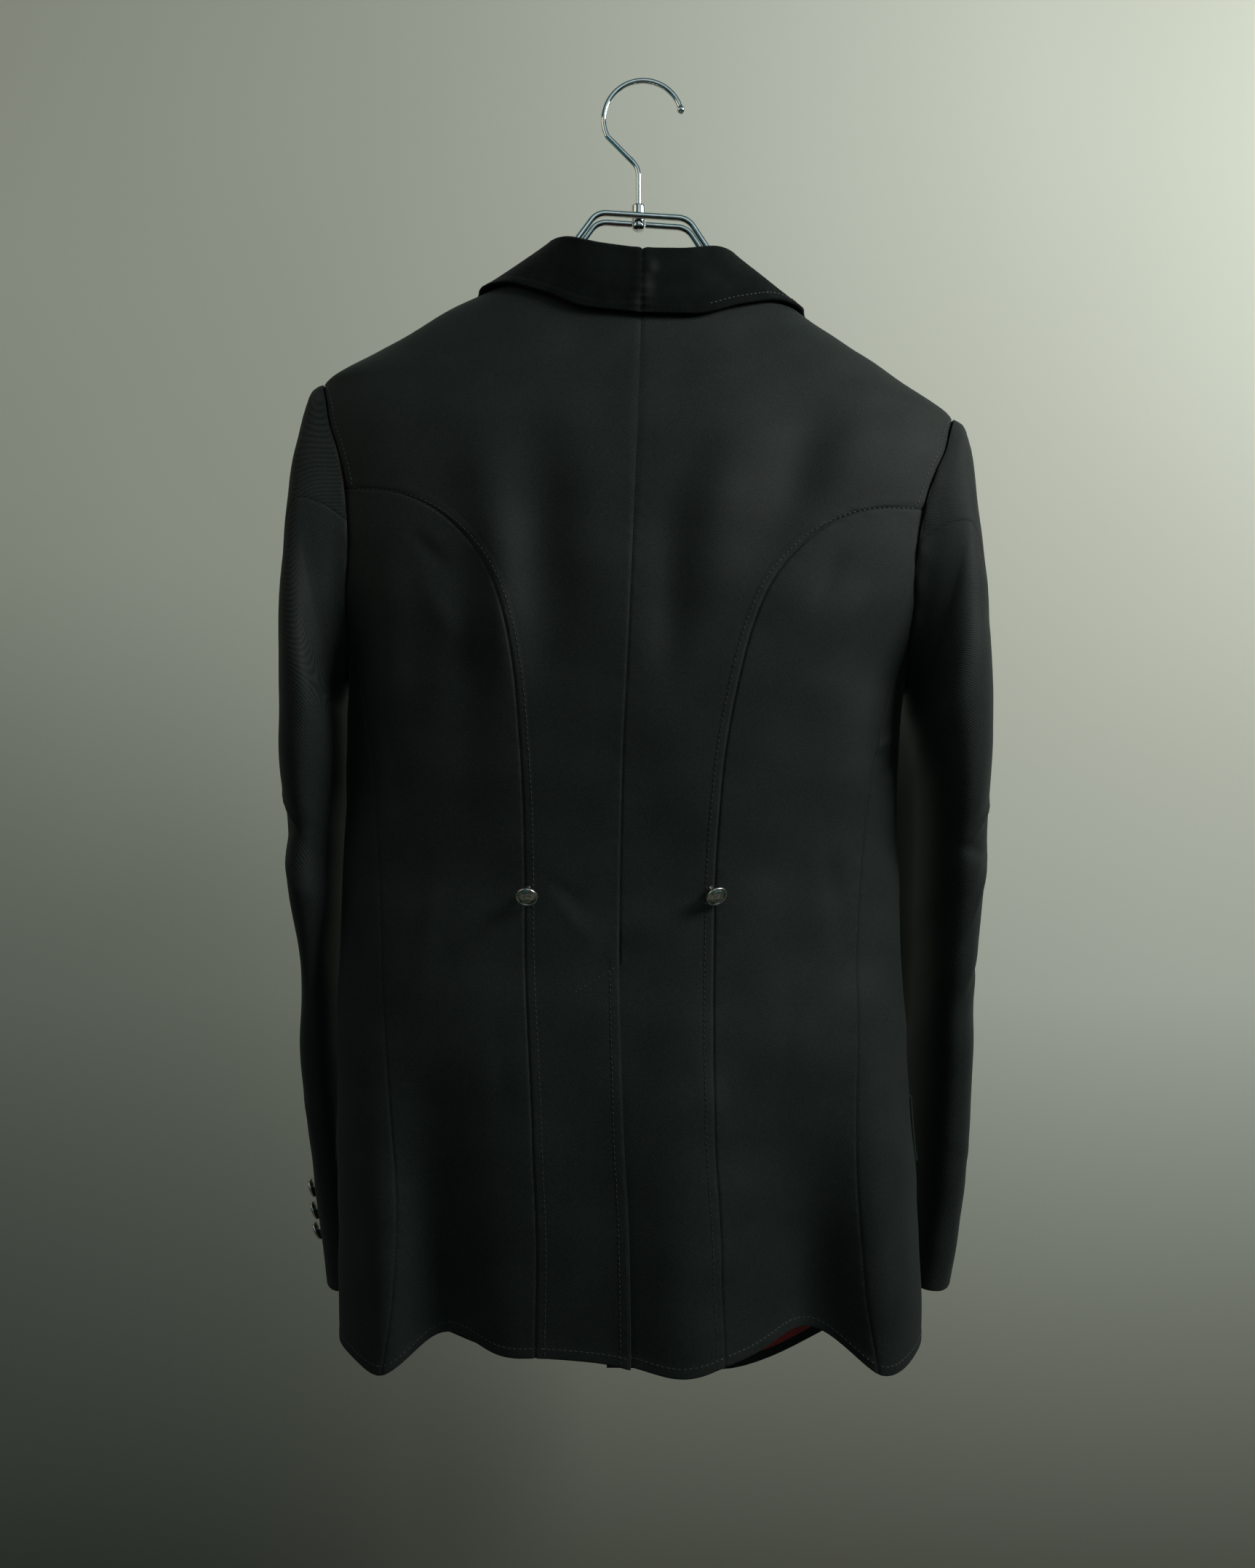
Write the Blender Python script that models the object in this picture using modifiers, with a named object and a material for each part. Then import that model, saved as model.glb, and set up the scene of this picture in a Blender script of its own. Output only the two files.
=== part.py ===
# Riding jacket hung on a wire hanger, in metres, +Z up, with its back to -Y.
# The origin is the highest point inside the hook, where a rail carries it.
import math

import bmesh
import bpy
import numpy as np
from mathutils import Matrix, Vector

MM = 0.001

# Cloth, in millimetres
WOOL_WALL = 2.2
COLLAR_WALL = 2.0
LINING_WALL = 1.0
LINING_GAP = 0.4
LINING_ROWS = (1, 9)  # of a front: it starts above the hem's facing and ends above the waist
SEAM_GAP = 0.3
ARMHOLE_GAP = 1.2
UNDERARM_GAP = 1.8  # more, under the arm

# Rows and columns of the cloth walls
SEAM_ROWS = 20  # hem to the top of the curved back seam or the side seam
ARMHOLE_BACK_ROWS = 4
ARMHOLE_FRONT_ROWS = 12
SHOULDER_ROWS = 5
BACK_STOPS = (0, 0.13, 0.26, 0.386, 0.51, 0.64, 0.78, 0.9, 1)
SIDE_STOPS = (0, 0.17, 0.34, 0.5, 0.66, 0.83, 1)
FRONT_STOPS = (0, 0.045, 0.12, 0.22, 0.35, 0.5, 0.65, 0.78, 0.885, 0.945, 1)
SLEEVE_ROWS = 20
SLEEVE_COLUMNS = 8

# Level sections of the body: height, half width at the side, depth behind and in
# front of the side, and squareness (2 is an ellipse)
BODY = {
    "height": (-930, -845, -773, -706, -640, -593, -546, -470, -415, -350, -300, -260, -222, -201, -180, -140, -110),
    "wide": (199, 199, 198, 196, 194, 192, 190, 188, 190, 213, 221, 221, 214, 183, 151, 84, 34),
    "back": (72, 72, 74, 73, 69, 63, 60, 67, 73, 77, 76, 73, 62, 55, 48, 32, 20),
    "front": (60, 60, 61, 62, 60, 58, 57, 63, 68, 70, 68, 62, 50, 46, 42, 34, 28),
    "square": (2.2, 2.2, 2.2, 2.2, 2.2, 2.2, 2.2, 2.3, 2.4, 2.5, 2.5, 2.5, 2.3, 2.25, 2.2, 2.1, 2.1),
}
# How far the cloth sways sideways off the hook, and how much the shoulders tilt
SWAY = {
    "height": (-930, -845, -773, -706, -640, -593, -546, -462, -406, -322, -245, -180, -100, 10),
    "aside": (-9, -9.2, -10.1, -13.2, -15.1, -16, -15.6, -13.7, -11, -7.3, -4.1, -2, -0.5, 0),
}
TILT = {"height": (-930, -560, -300, -230, -180, -110, 10), "slope": (0, 0, 0.036, 0.053, 0.06, 0.064, 0.064)}

# Armhole, seen from the side: centre height, half height and half breadths
ARMHOLE_HEIGHT = -318
ARMHOLE_TALL = 96
ARMHOLE_BACK = 50
ARMHOLE_FRONT = 48
CORNER_TURN = 77  # where the curved back seam meets it, in degrees from its top
SIDE_SEAM_TURN = 127.8  # where the side seam meets it

# Curved back seam, from the hem to the armhole: share of its rows, distance from
# the centre back and height
BACK_SEAM = {
    "share": (0, 0.12, 0.24, 0.37, 0.47, 0.57, 0.65, 0.72, 0.79, 0.85, 0.91, 0.96, 1),
    "out": (60, 58, 57.5, 60.3, 61, 63.5, 68, 75, 86, 103, 130, 158, 188.4),
    "height": (-845, -773, -700, -593, -540, -480, -435, -392, -357, -331, -309, -299, -296),
}
# Side seam, from the hem to the armhole
SIDE_SEAM = {
    "share": (0, 0.12, 0.24, 0.42, 0.56, 0.7, 0.85, 1),
    "out": (160, 152, 149, 154, 157, 162, 171, 185),
    "height": (-858, -804, -742, -640, -560, -490, -435, -376.8),
}
# Centre back seam against the rows of a back panel
CENTRE_BACK = {
    "row": (0, 3, 6, 7, 8, 12, 16, 20, 24, 29),
    "height": (-846, -755, -650, -616, -597, -490, -382, -300, -215, -166),
}
NECK_RISE = 26  # from the centre back of the neckline to its side
SIDE_NECK = -140
SHOULDER_POINT = -222

# Centre vent
VENT_TOP = -597
VENT_SLANT = 19  # the underlap's top edge drops this much to its full width
UNDERLAP = 34
TUCK_FADE = 34  # beyond the centre, where the underlap's panel has come back out
TUCK = WOOL_WALL + 1.2

# Fronts
FRONT_HEM = {-1: -903, 1: -912}  # of each side's own edge
HEM_FALL = (0.5, 0.37)  # where the front hem starts to fall, and over what share of the front
BREAK_HEIGHT = -440  # top of the closing, where the lapel turns
FRONT_LAP = 17  # each front passes the centre by this
LAP_TOP = -386  # below this the upper front stands off the lower one
LAP_LIFT_START = 158  # degrees round, where it starts to rise
LAP_LIFT_TURN = 11
ROLL_TOP = (66, -166)  # top of the lapel's roll line: distance from the centre, height
LAPEL_START = -384
LAPEL = {
    "share": (0, 0.3, 0.6, 0.8, 0.92, 1),
    "height": (-380, -345, -300, -262, -245, -232),
    "out": (4, 50, 84, 106, 117, 120),
}
LAPEL_LIFT = 1.6 + WOOL_WALL
FLAP_LIFT = 1.2 + WOOL_WALL
FLAP = {"start": 92, "end": 142, "top_side": -698, "top_front": -676, "drop": 44, "slope": 6}

# Folds of the body's cloth: distance from the centre at the top and bottom of the
# fold (the viewer's right is positive), its heights, half breadth and how far it
# stands out (positive) or sinks (negative). An open fold runs out at the hem.
BACK_FOLDS = {
    "top_x": (-158, 172, -124, 116, -33, 115, -102, -155, -84, 30, -160),
    "low_x": (-158, 166, -128, 116, -62, 118, -100, -153, -84, 32, -104),
    "top": (-600, -560, -590, -640, -205, -205, -300, -305, -350, -600, -690),
    "low": (-850, -850, -850, -850, -360, -285, -505, -480, -430, -850, -850),
    "reach": (23, 24, 28, 32, 20, 26, 16, 15, 13, 34, 20),
    "rise": (13, 13, -19, -23, -5, -5, -5, 4, 3, 13, -3),
    "open": (1, 1, 1, 1, 0, 0, 0, 0, 0, 1, 1),
}
FRONT_FOLDS = {
    "top_x": (-128, 130, -70, 62, 150, -148),
    "low_x": (-120, 118, -84, 74, 140, -138),
    "top": (-640, -620, -300, -300, -330, -340),
    "low": (-890, -890, -440, -430, -520, -540),
    "reach": (26, 28, 18, 18, 15, 15),
    "rise": (10, 9, -4, -4, 4, 4),
    "open": (1, 1, 0, 0, 0, 0),
}
FOLD_DROP = 0.35  # an open fold that stands out hangs lower by this part of its rise
FOLD_LIFT = 0.95  # and one that sinks hangs higher by this part

# Collar, from the centre back to its front end: fold line, and where its base and
# its edge lie on the body (degrees round from the centre back, height)
COLLAR = {
    "share": (0, 0.2, 0.4, 0.55, 0.7, 0.85, 1),
    "fold_x": (0, 27, 50, 60, 62, 63, 66),
    "fold_y": (-45, -41, -27, -10, 8, 24, 38),
    "fold_z": (-133, -130, -121.5, -119, -123, -139, -160),
    "base_turn": (0, 13.5, 28, 48, 90, 125, 146),
    "edge_turn": (0, 11.6, 30, 58, 88, 126, 147),
    "edge_z": (-178, -176, -164, -155, -155, -174, -207),
}
COLLAR_COLUMNS = 22
COLLAR_LIFT = 2.6  # of the fall's edge above the panels
COLLAR_ROLL = 2.6  # radius of its fold
COLLAR_CROWN = 1.6
COLLAR_BASE = 2.6  # of the stand above the neckline

# Sleeves: outer and inner outline seen from behind, breadth from back to front, and
# how far the sleeve's middle swings forward
SLEEVE = {
    "share": (0, 0.04, 0.08, 0.15, 0.25, 0.38, 0.5, 0.62, 0.75, 0.88, 1),
    "outer_left": (214, 219.5, 223, 229, 237.5, 243.6, 245, 240.5, 239.8, 237, 231),
    "outer_right": (214, 219.5, 222.5, 227, 233.5, 239.6, 242, 238.5, 238.8, 236.8, 231),
    "outer_z": (-222, -226, -238, -272, -335, -430, -505, -585, -675, -768, -848),
    "inner_left": (190, 192.5, 194, 196.5, 199.5, 203.5, 208, 212, 210, 203, 193),
    "inner_right": (190, 192.5, 194, 195.5, 196.5, 198, 200, 201, 200, 198, 192),
    "inner_z": (-414, -417, -421, -428, -443, -475, -525, -595, -680, -768, -844),
    "breadth": (48, 50, 53, 57, 62, 64, 62, 60, 58, 56, 55),
    "forward": (0, 0, 0, 0, 2, 12, 28, 46, 64, 82, 96),
    "curl": (0, 0, 0, 2, 10, 24, 28, 28, 24, 20, 18),
    "hind_seam": (90, 84, 76, 60, 44, 34, 30, 28, 24, 20, 16),
}
FOREARM_SEAM = 222
SLEEVE_SQUARE = 2.15
CAP_SHARE = 0.13  # over this share of its length the sleeve takes up the armhole's form
ARM_SWAY = {"share": (0, 0.15, 0.25, 0.38, 0.5, 0.62, 0.75, 0.88, 1), "aside": (0, 0, 3, 8, 11, 13.3, 11.6, 8.7, 6.5)}
# Sleeve folds: which sleeve (-1 left), place along and round it, half lengths of
# each (share, degrees) and how far it stands out
SLEEVE_FOLDS = {
    "side": (-1, -1, -1, 1, 1, 1, -1, 1, -1, 1),
    "along": (0.5, 0.56, 0.66, 0.5, 0.58, 0.69, 0.3, 0.28, 0.54, 0.53),
    "turn": (70, 95, 60, 75, 95, 70, 110, 115, 260, 262),
    "long": (0.03, 0.035, 0.05, 0.035, 0.05, 0.04, 0.06, 0.06, 0.04, 0.04),
    "round": (45, 50, 40, 40, 40, 45, 30, 30, 45, 45),
    "rise": (-5, 3, -4, -5, -5, -4, 3, 3, -6, -6),
}

# Buttons
BUTTON_RADIUS = 7.3
BUTTON_STEPS = 12
WAIST_BUTTON = (58.4, -548)  # distance from the centre back, height on the cloth
WAIST_DROOP = 38
WAIST_SHANK = 7.4
CUFF_BUTTONS = (0.9, 0.926, 0.95)
CUFF_BUTTON_TURN = {-1: 6, 1: -70}  # the right sleeve hangs turned, with its buttons in front
FRONT_BUTTON_HEIGHTS = (-462, -532, -602)
SHANK = 3.2
BUTTON_LIFT = 1.3  # of a drooping shank's foot, so that its rim clears the cloth

# Hanger
HOOK_RADIUS = 27
HOOK_WIRE = 1.9
HOOK_BALL = 2.75
HOOK_BALL_ANGLE = 15
HOOK_LEAVE_ANGLE = 205
HOOK_BEND = (-3, -58)
STEM_FOOT = (-3, -90)
FERRULE_RADIUS = 4.8
FERRULE_TOP = -84
FERRULE_FOOT = -101.5
BAR_WIRE = 2.15
BAR_SPACING = 7.25  # each bar from the middle plane
BAR_HEIGHT = -94
BAR_HALF = 31
BAR_CORNER = (61, -137)
BAR_TIP = 192
BAR_BELOW_RIDGE = 9.6
BAR_BEND = 7

COLOURS = {
    "wool": (0.012, 0.014, 0.013, 0.85, 0.0),
    "velvet": (0.006, 0.008, 0.008, 0.95, 0.0),
    "lining": (0.20, 0.012, 0.018, 0.45, 0.0),
    "silver": (0.72, 0.71, 0.68, 0.3, 1.0),
    "chrome": (0.86, 0.87, 0.87, 0.08, 1.0),
}


# Values and curves
def curve_through(stations, values):
    """A smooth curve through the values that never swings past them."""
    x = np.asarray(stations, float)
    y = np.asarray(values, float)
    if x[0] > x[-1]:
        x, y = x[::-1], y[::-1]
    steps = np.diff(y) / np.diff(x)
    slopes = np.zeros(len(x))
    slopes[0], slopes[-1] = steps[0], steps[-1]
    for i in range(1, len(x) - 1):
        if steps[i - 1] * steps[i] > 0:
            slopes[i] = 2 * steps[i - 1] * steps[i] / (steps[i - 1] + steps[i])

    def value(at):
        at = min(max(at, x[0]), x[-1])
        i = min(max(int(np.searchsorted(x, at)) - 1, 0), len(x) - 2)
        width = x[i + 1] - x[i]
        t = (at - x[i]) / width
        rise = t * t * (3 - 2 * t)
        start = t * (1 - t) ** 2 * width * slopes[i]
        end = t * t * (1 - t) * width * slopes[i + 1]
        return y[i] + rise * (y[i + 1] - y[i]) + start - end

    return value


def columns_of(table, along):
    """One smooth curve for each other column of a table."""
    return {name: curve_through(table[along], table[name]) for name in table if name != along}


def step_up(value):
    t = min(max(value, 0.0), 1.0)
    return t * t * (3 - 2 * t)


def power(value, exponent):
    return max(value, 0.0) ** exponent


body = columns_of(BODY, "height")
sway = columns_of(SWAY, "height")
tilt = columns_of(TILT, "height")
arm_sway = columns_of(ARM_SWAY, "share")
back_seam = columns_of(BACK_SEAM, "share")
side_seam = columns_of(SIDE_SEAM, "share")
centre_back = columns_of(CENTRE_BACK, "row")
lapel_edge = columns_of(LAPEL, "share")
collar_line = columns_of(COLLAR, "share")
sleeve_line = columns_of(SLEEVE, "share")


def hang(x, y, z):
    """A point of the even garment, as it hangs: swayed aside and tilted."""
    return Vector((x + sway["aside"](z), y, z - tilt["slope"](z) * x))


def fold_rise(folds, x, height):
    """How far the folds lift the cloth here, and how much lower it hangs."""
    lift = 0.0
    drop = 0.0
    for i in range(len(folds["rise"])):
        down = (folds["top"][i] - height) / (folds["top"][i] - folds["low"][i])
        middle = folds["top_x"][i] + min(max(down, 0), 1) * (folds["low_x"][i] - folds["top_x"][i])
        across = math.exp(-(((x - middle) / folds["reach"][i]) ** 2))
        if folds["open"][i]:
            along = step_up(down)
        else:
            along = math.sin(math.pi * min(max(down, 0), 1)) ** 2
        lift += folds["rise"][i] * across * along
        if folds["open"][i]:
            part = FOLD_DROP if folds["rise"][i] > 0 else FOLD_LIFT
            drop += folds["rise"][i] * across * step_up(2 * down - 1) * part
    return lift, drop


def body_point(turn, height):
    """The cloth's outer surface: degrees round from the centre back, and height."""
    angle = math.radians(turn)
    wide = body["wide"](height)
    exponent = 2 / body["square"](height)
    sine, cosine = math.sin(angle), math.cos(angle)
    x = math.copysign(wide * power(abs(sine), exponent), sine)
    if cosine >= 0:
        y = -body["back"](height) * power(cosine, exponent)
        lift, drop = fold_rise(BACK_FOLDS, x, height)
        return hang(x, y - lift * step_up(2.2 * cosine), height - drop)
    y = body["front"](height) * power(-cosine, exponent)
    lift, drop = fold_rise(FRONT_FOLDS, x, height)
    return hang(x, y + lift * step_up(-2.2 * cosine), height - drop)


def body_normal(turn, height):
    around = body_point(turn + 0.3, height) - body_point(turn - 0.3, height)
    up = body_point(turn, height + 0.6) - body_point(turn, height - 0.6)
    return around.cross(up).normalized()


def turn_at(out, height, front=False):
    """The turn at which the body is this far from its middle plane."""
    share = min(abs(out) / body["wide"](height), 1)
    turn = math.degrees(math.asin(power(share, body["square"](height) / 2)))
    turn = 180 - turn if front else turn
    return math.copysign(turn, out)


def armhole_place(turn):
    """(turn on the body, height) of the armhole's edge, from its top round by the back."""
    angle = math.radians(turn)
    height = ARMHOLE_HEIGHT + ARMHOLE_TALL * math.cos(angle)
    sine = math.sin(angle)
    half = body["square"](height) / 2
    if sine >= 0:
        depth = min(ARMHOLE_BACK * sine / body["back"](height), 1)
        return math.degrees(math.acos(power(depth, half))), height
    depth = min(-ARMHOLE_FRONT * sine / body["front"](height), 1)
    return 180 - math.degrees(math.acos(power(depth, half))), height


# Edges of the panels: (turn on the viewer's right, height) at a share of their rows
def back_seam_place(share):
    if share >= 1:
        return armhole_place(CORNER_TURN)
    height = back_seam["height"](share)
    return turn_at(back_seam["out"](share), height), height


def side_seam_place(share):
    if share >= 1:
        return armhole_place(SIDE_SEAM_TURN)
    height = side_seam["height"](share)
    return turn_at(side_seam["out"](share), height), height


def shoulder_place(share):
    return 90.0, SHOULDER_POINT + share * (SIDE_NECK - SHOULDER_POINT)


def back_rows():
    """Outer edge of a back panel, row by row: curved seam, armhole, shoulder."""
    rows = [back_seam_place(i / SEAM_ROWS) for i in range(SEAM_ROWS + 1)]
    for i in range(1, ARMHOLE_BACK_ROWS + 1):
        rows.append(armhole_place(CORNER_TURN * (1 - i / ARMHOLE_BACK_ROWS)))
    rows += [shoulder_place(i / SHOULDER_ROWS) for i in range(1, SHOULDER_ROWS + 1)]
    return rows


def front_rows():
    """Outer edge of a front: side seam, under the arm and up the armhole, shoulder."""
    rows = [side_seam_place(i / SEAM_ROWS) for i in range(SEAM_ROWS + 1)]
    for i in range(1, ARMHOLE_FRONT_ROWS + 1):
        share = i / ARMHOLE_FRONT_ROWS
        rows.append(armhole_place(SIDE_SEAM_TURN + share * (360 - SIDE_SEAM_TURN)))
    rows += [shoulder_place(i / SHOULDER_ROWS) for i in range(1, SHOULDER_ROWS + 1)]
    return rows


def spread(places, share):
    """The place at a share of a list of rows, between rows by straight steps."""
    at = share * (len(places) - 1)
    i = min(int(at), len(places) - 2)
    t = at - i
    return tuple((1 - t) * a + t * b for a, b in zip(places[i], places[i + 1]))


BACK_EDGE = back_rows()
FRONT_EDGE = front_rows()
BACK_SIDE_ROW = (SEAM_ROWS + ARMHOLE_BACK_ROWS) / (len(BACK_EDGE) - 1)


def centre_back_place(share, underlap):
    height = centre_back["height"](share * (len(BACK_EDGE) - 1))
    reach = underlap * min(max((VENT_TOP - height) / VENT_SLANT, 0), 1)
    return -turn_at(reach, height), height


def neckline(turn):
    """Height of the back neckline: low behind, climbing to the side."""
    return CENTRE_BACK["height"][-1] + NECK_RISE * math.sin(math.radians(max(turn, 0))) ** 2


def crowd(u, share):
    """Near the shoulder the columns crowd towards its ridge."""
    return 1 - (1 - u) ** (1 + 0.8 * step_up((share - 0.6) / 0.25))


def back_place(u, v, underlap):
    """A back panel from the centre back (u = 0) to its outer edge, hem to neck."""
    u = crowd(u, v)
    inner = centre_back_place(v, underlap)
    outer = spread(BACK_EDGE, v)
    turn = inner[0] + u * (outer[0] - inner[0])
    height = inner[1] + u * (outer[1] - inner[1])
    neck_share = step_up((v - BACK_SIDE_ROW) / (1 - BACK_SIDE_ROW))
    return turn, height + neck_share * (neckline(turn) - height)


def side_back_place(u, v):
    """The side back: both seams from the hem, and its top edge along the armhole."""
    at = v * SEAM_ROWS
    inner = spread(BACK_EDGE, at / (len(BACK_EDGE) - 1))
    outer = spread(FRONT_EDGE, at / (len(FRONT_EDGE) - 1))
    top = armhole_place(CORNER_TURN + u * (SIDE_SEAM_TURN - CORNER_TURN))
    place = []
    for axis in range(2):
        level = inner[axis] + u * (outer[axis] - inner[axis])
        straight_top = BACK_EDGE[SEAM_ROWS][axis] + u * (FRONT_EDGE[SEAM_ROWS][axis] - BACK_EDGE[SEAM_ROWS][axis])
        place.append(level + v * (top[axis] - straight_top))
    return tuple(place)


def front_edge_place(share, side):
    """A front's own edge: up the closing, then along the lapel's roll line."""
    closing = SEAM_ROWS * 0.92 / (len(FRONT_EDGE) - 1)
    if share < closing:
        height = FRONT_HEM[side] + (BREAK_HEIGHT - FRONT_HEM[side]) * share / closing
        out = -FRONT_LAP
    else:
        t = (share - closing) / (1 - closing)
        height = BREAK_HEIGHT + t * (ROLL_TOP[1] - BREAK_HEIGHT)
        out = -FRONT_LAP + t * (ROLL_TOP[0] + FRONT_LAP)
    turn = turn_at(abs(out), height, front=True)
    return (360 - turn if out < 0 else turn), height


def front_place(u, v, side):
    """A front from its outer edge (u = 0) round to its own edge."""
    outer = spread(FRONT_EDGE, v)
    inner = front_edge_place(v, side)
    # Rows dive under the armhole before they level out.
    at = v * (len(FRONT_EDGE) - 1)
    dive = 1 + 3 * step_up(at / SEAM_ROWS) * step_up((SEAM_ROWS + ARMHOLE_FRONT_ROWS - at) / ARMHOLE_FRONT_ROWS)
    fall = 1 - (1 - u) ** dive if dive > 1 else u
    fall = fall + (step_up((u - HEM_FALL[0]) / HEM_FALL[1]) - u) * step_up(1 - at / 6)
    return outer[0] + u * (inner[0] - outer[0]), outer[1] + fall * (inner[1] - outer[1])


def tuck_in(turn, height):
    """How far the underlap lies inside the panel that covers it."""
    out = math.copysign(body["wide"](height), turn) * power(abs(math.sin(math.radians(turn))), 2 / body["square"](height))
    return TUCK * step_up((TUCK_FADE - out) / 11) * step_up((VENT_TOP + 30 - height) / 26)


def lap_out(turn, height):
    """How far the upper front stands off the one that it laps over."""
    beyond = (turn - LAP_LIFT_START) / LAP_LIFT_TURN
    return TUCK * step_up(beyond) * step_up((LAP_TOP + 14 - height) / 14)


# Cloth walls
def make_object(name, mesh, slot):
    material = bpy.data.materials.get(slot)
    if material is None:
        red, green, blue, roughness, metallic = COLOURS[slot]
        material = bpy.data.materials.new(slot)
        material.use_nodes = True
        shader = material.node_tree.nodes["Principled BSDF"]
        shader.inputs["Base Color"].default_value = (red, green, blue, 1)
        shader.inputs["Roughness"].default_value = roughness
        shader.inputs["Metallic"].default_value = metallic
    mesh.materials.append(material)
    made = bpy.data.objects.new(name, mesh)
    parts.objects.link(made)
    return made


def even(count):
    return tuple(i / count for i in range(count + 1))


def cloth_wall(name, slot, stops, rows, outside, inward, wall, trim=SEAM_GAP / 2):
    """A wall over a grid: outside(u, v) is a point of its face, inward(u, v) its depth direction."""
    bm = bmesh.new()
    columns = len(stops) - 1
    bmesh.ops.create_grid(bm, x_segments=columns, y_segments=len(rows) - 1, size=0.5)
    lifted = bmesh.ops.extrude_face_region(bm, geom=bm.faces[:])
    inner = {item for item in lifted["geom"] if isinstance(item, bmesh.types.BMVert)}
    small = 1e-3
    found = {}
    for vert in bm.verts:
        column = round((vert.co.x + 0.5) * columns)
        row = round((vert.co.y + 0.5) * (len(rows) - 1))
        if (column, row) not in found:
            u, v = stops[column], rows[row]
            point = outside(u, v)
            depth = inward(u, v)
            if u in (0, 1) or v in (0, 1):
                along_v = outside(u, min(v + small, 1)) - outside(u, max(v - small, 0))
                along_u = outside(min(u + small, 1), v) - outside(max(u - small, 0), v)
                for edge, along, across in ((u, along_v, along_u), (max(v, small), along_u, along_v)):
                    if edge in (0, 1):
                        aside = depth.cross(along).normalized()
                        point = point + aside * math.copysign(trim, aside.dot(across) * (0.5 - edge))
            found[column, row] = point, depth
        point, depth = found[column, row]
        vert.co = (point + depth * (wall if vert in inner else 0)) * MM
    bmesh.ops.recalc_face_normals(bm, faces=bm.faces[:])
    mesh = bpy.data.meshes.new(name)
    bm.to_mesh(mesh)
    bm.free()
    made = make_object(name, mesh, slot)
    mesh.shade_smooth()
    mesh.set_sharp_from_angle(angle=math.radians(40))
    return made


def panel_wall(name, slot, stops, rows, place, side, wall=WOOL_WALL, depth=None, inset=0.0):
    """A body panel on one side (-1 is the viewer's left) from its (turn, height) places."""

    def outside(u, v):
        turn, height = place(u, v)
        sink = inset + (depth(turn, height) if depth else 0.0)
        point = body_point(side * turn, height)
        return point - body_normal(side * turn, height) * sink if sink else point

    def inward(u, v):
        turn, height = place(u, v)
        return -body_normal(side * turn, height)

    return cloth_wall(name, slot, stops, rows, outside, inward, wall)


def build_body():
    back_rows_even = even(len(BACK_EDGE) - 1)
    panel_wall("back_left", "wool", BACK_STOPS, back_rows_even, lambda u, v: back_place(u, v, 0), -1)
    panel_wall(
        "back_right", "wool", BACK_STOPS, back_rows_even, lambda u, v: back_place(u, v, UNDERLAP), 1, depth=tuck_in
    )
    for side, label in ((-1, "left"), (1, "right")):
        panel_wall("side_back_" + label, "wool", SIDE_STOPS, even(SEAM_ROWS), side_back_place, side)
        lapped = (lambda turn, height: -lap_out(turn, height)) if side > 0 else None
        panel_wall(
            "front_" + label, "wool", FRONT_STOPS, even(len(FRONT_EDGE) - 1),
            lambda u, v, side=side: front_place(u, v, side), side, depth=lapped,
        )


def build_lining():
    """The lining where it shows: inside the lower fronts, short of the hem."""
    first, last = LINING_ROWS
    rows = even(len(FRONT_EDGE) - 1)[first : last + 1]
    stops = FRONT_STOPS[1:-2]

    def place(u, v, side):
        return front_place(stops[0] + u * (stops[-1] - stops[0]), rows[0] + v * (rows[-1] - rows[0]), side)

    own_stops = tuple((stop - stops[0]) / (stops[-1] - stops[0]) for stop in stops)
    for side, label in ((-1, "left"), (1, "right")):
        panel_wall(
            "lining_front_" + label, "lining", own_stops, even(last - first),
            lambda u, v, side=side: place(u, v, side), side,
            wall=LINING_WALL, inset=WOOL_WALL + LINING_GAP,
        )


# Collar and lapels
def collar_frame(share, side):
    """Base, fold and edge points of the collar, with the directions of its fold."""
    line = {name: collar_line[name](share) for name in collar_line}
    turn = line["base_turn"]
    if turn <= 90:
        neck = neckline(turn)
    else:
        neck = SIDE_NECK + (turn - 90) / 61 * (ROLL_TOP[1] - SIDE_NECK)
    base = body_point(side * turn, neck + COLLAR_BASE) - body_normal(side * turn, neck) * (WOOL_WALL / 2)
    fold = hang(side * line["fold_x"], line["fold_y"], line["fold_z"])
    edge_turn = side * line["edge_turn"]
    edge = body_point(edge_turn, line["edge_z"])
    edge = edge + body_normal(edge_turn, line["edge_z"]) * (COLLAR_LIFT + COLLAR_WALL / 2)
    down = (base - fold).normalized()
    fall = (edge - fold).normalized()
    apex = -(down + fall).normalized()
    across = fall - down
    across = (across - apex * across.dot(apex)).normalized()
    return base, fold, edge, apex, across


COLLAR_PROFILE = ("stand", "stand", "stand", "roll", "roll", "roll", "roll", "roll", "fall", "fall", "fall", "fall")


def collar_middle(along, step):
    """The middle of the collar's wall: along it from -1 (left end) to 1, and down its profile."""
    side = -1 if along < 0 else 1
    base, fold, edge, apex, across = collar_frame(abs(along), side)
    stand_top = fold - apex * COLLAR_ROLL - across * COLLAR_ROLL
    fall_top = fold - apex * COLLAR_ROLL + across * COLLAR_ROLL
    stand_steps = COLLAR_PROFILE.count("stand")
    roll_steps = COLLAR_PROFILE.count("roll") - 1
    if step < stand_steps:
        return base.lerp(stand_top, step / stand_steps)
    if step <= stand_steps + roll_steps:
        angle = math.pi * (step - stand_steps) / roll_steps
        turned = apex * math.sin(angle) - across * math.cos(angle)
        return fold - apex * COLLAR_ROLL + turned * COLLAR_ROLL
    t = (step - stand_steps - roll_steps) / COLLAR_PROFILE.count("fall")
    return fall_top.lerp(edge, t) + across * COLLAR_CROWN * math.sin(math.pi * t)


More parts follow.
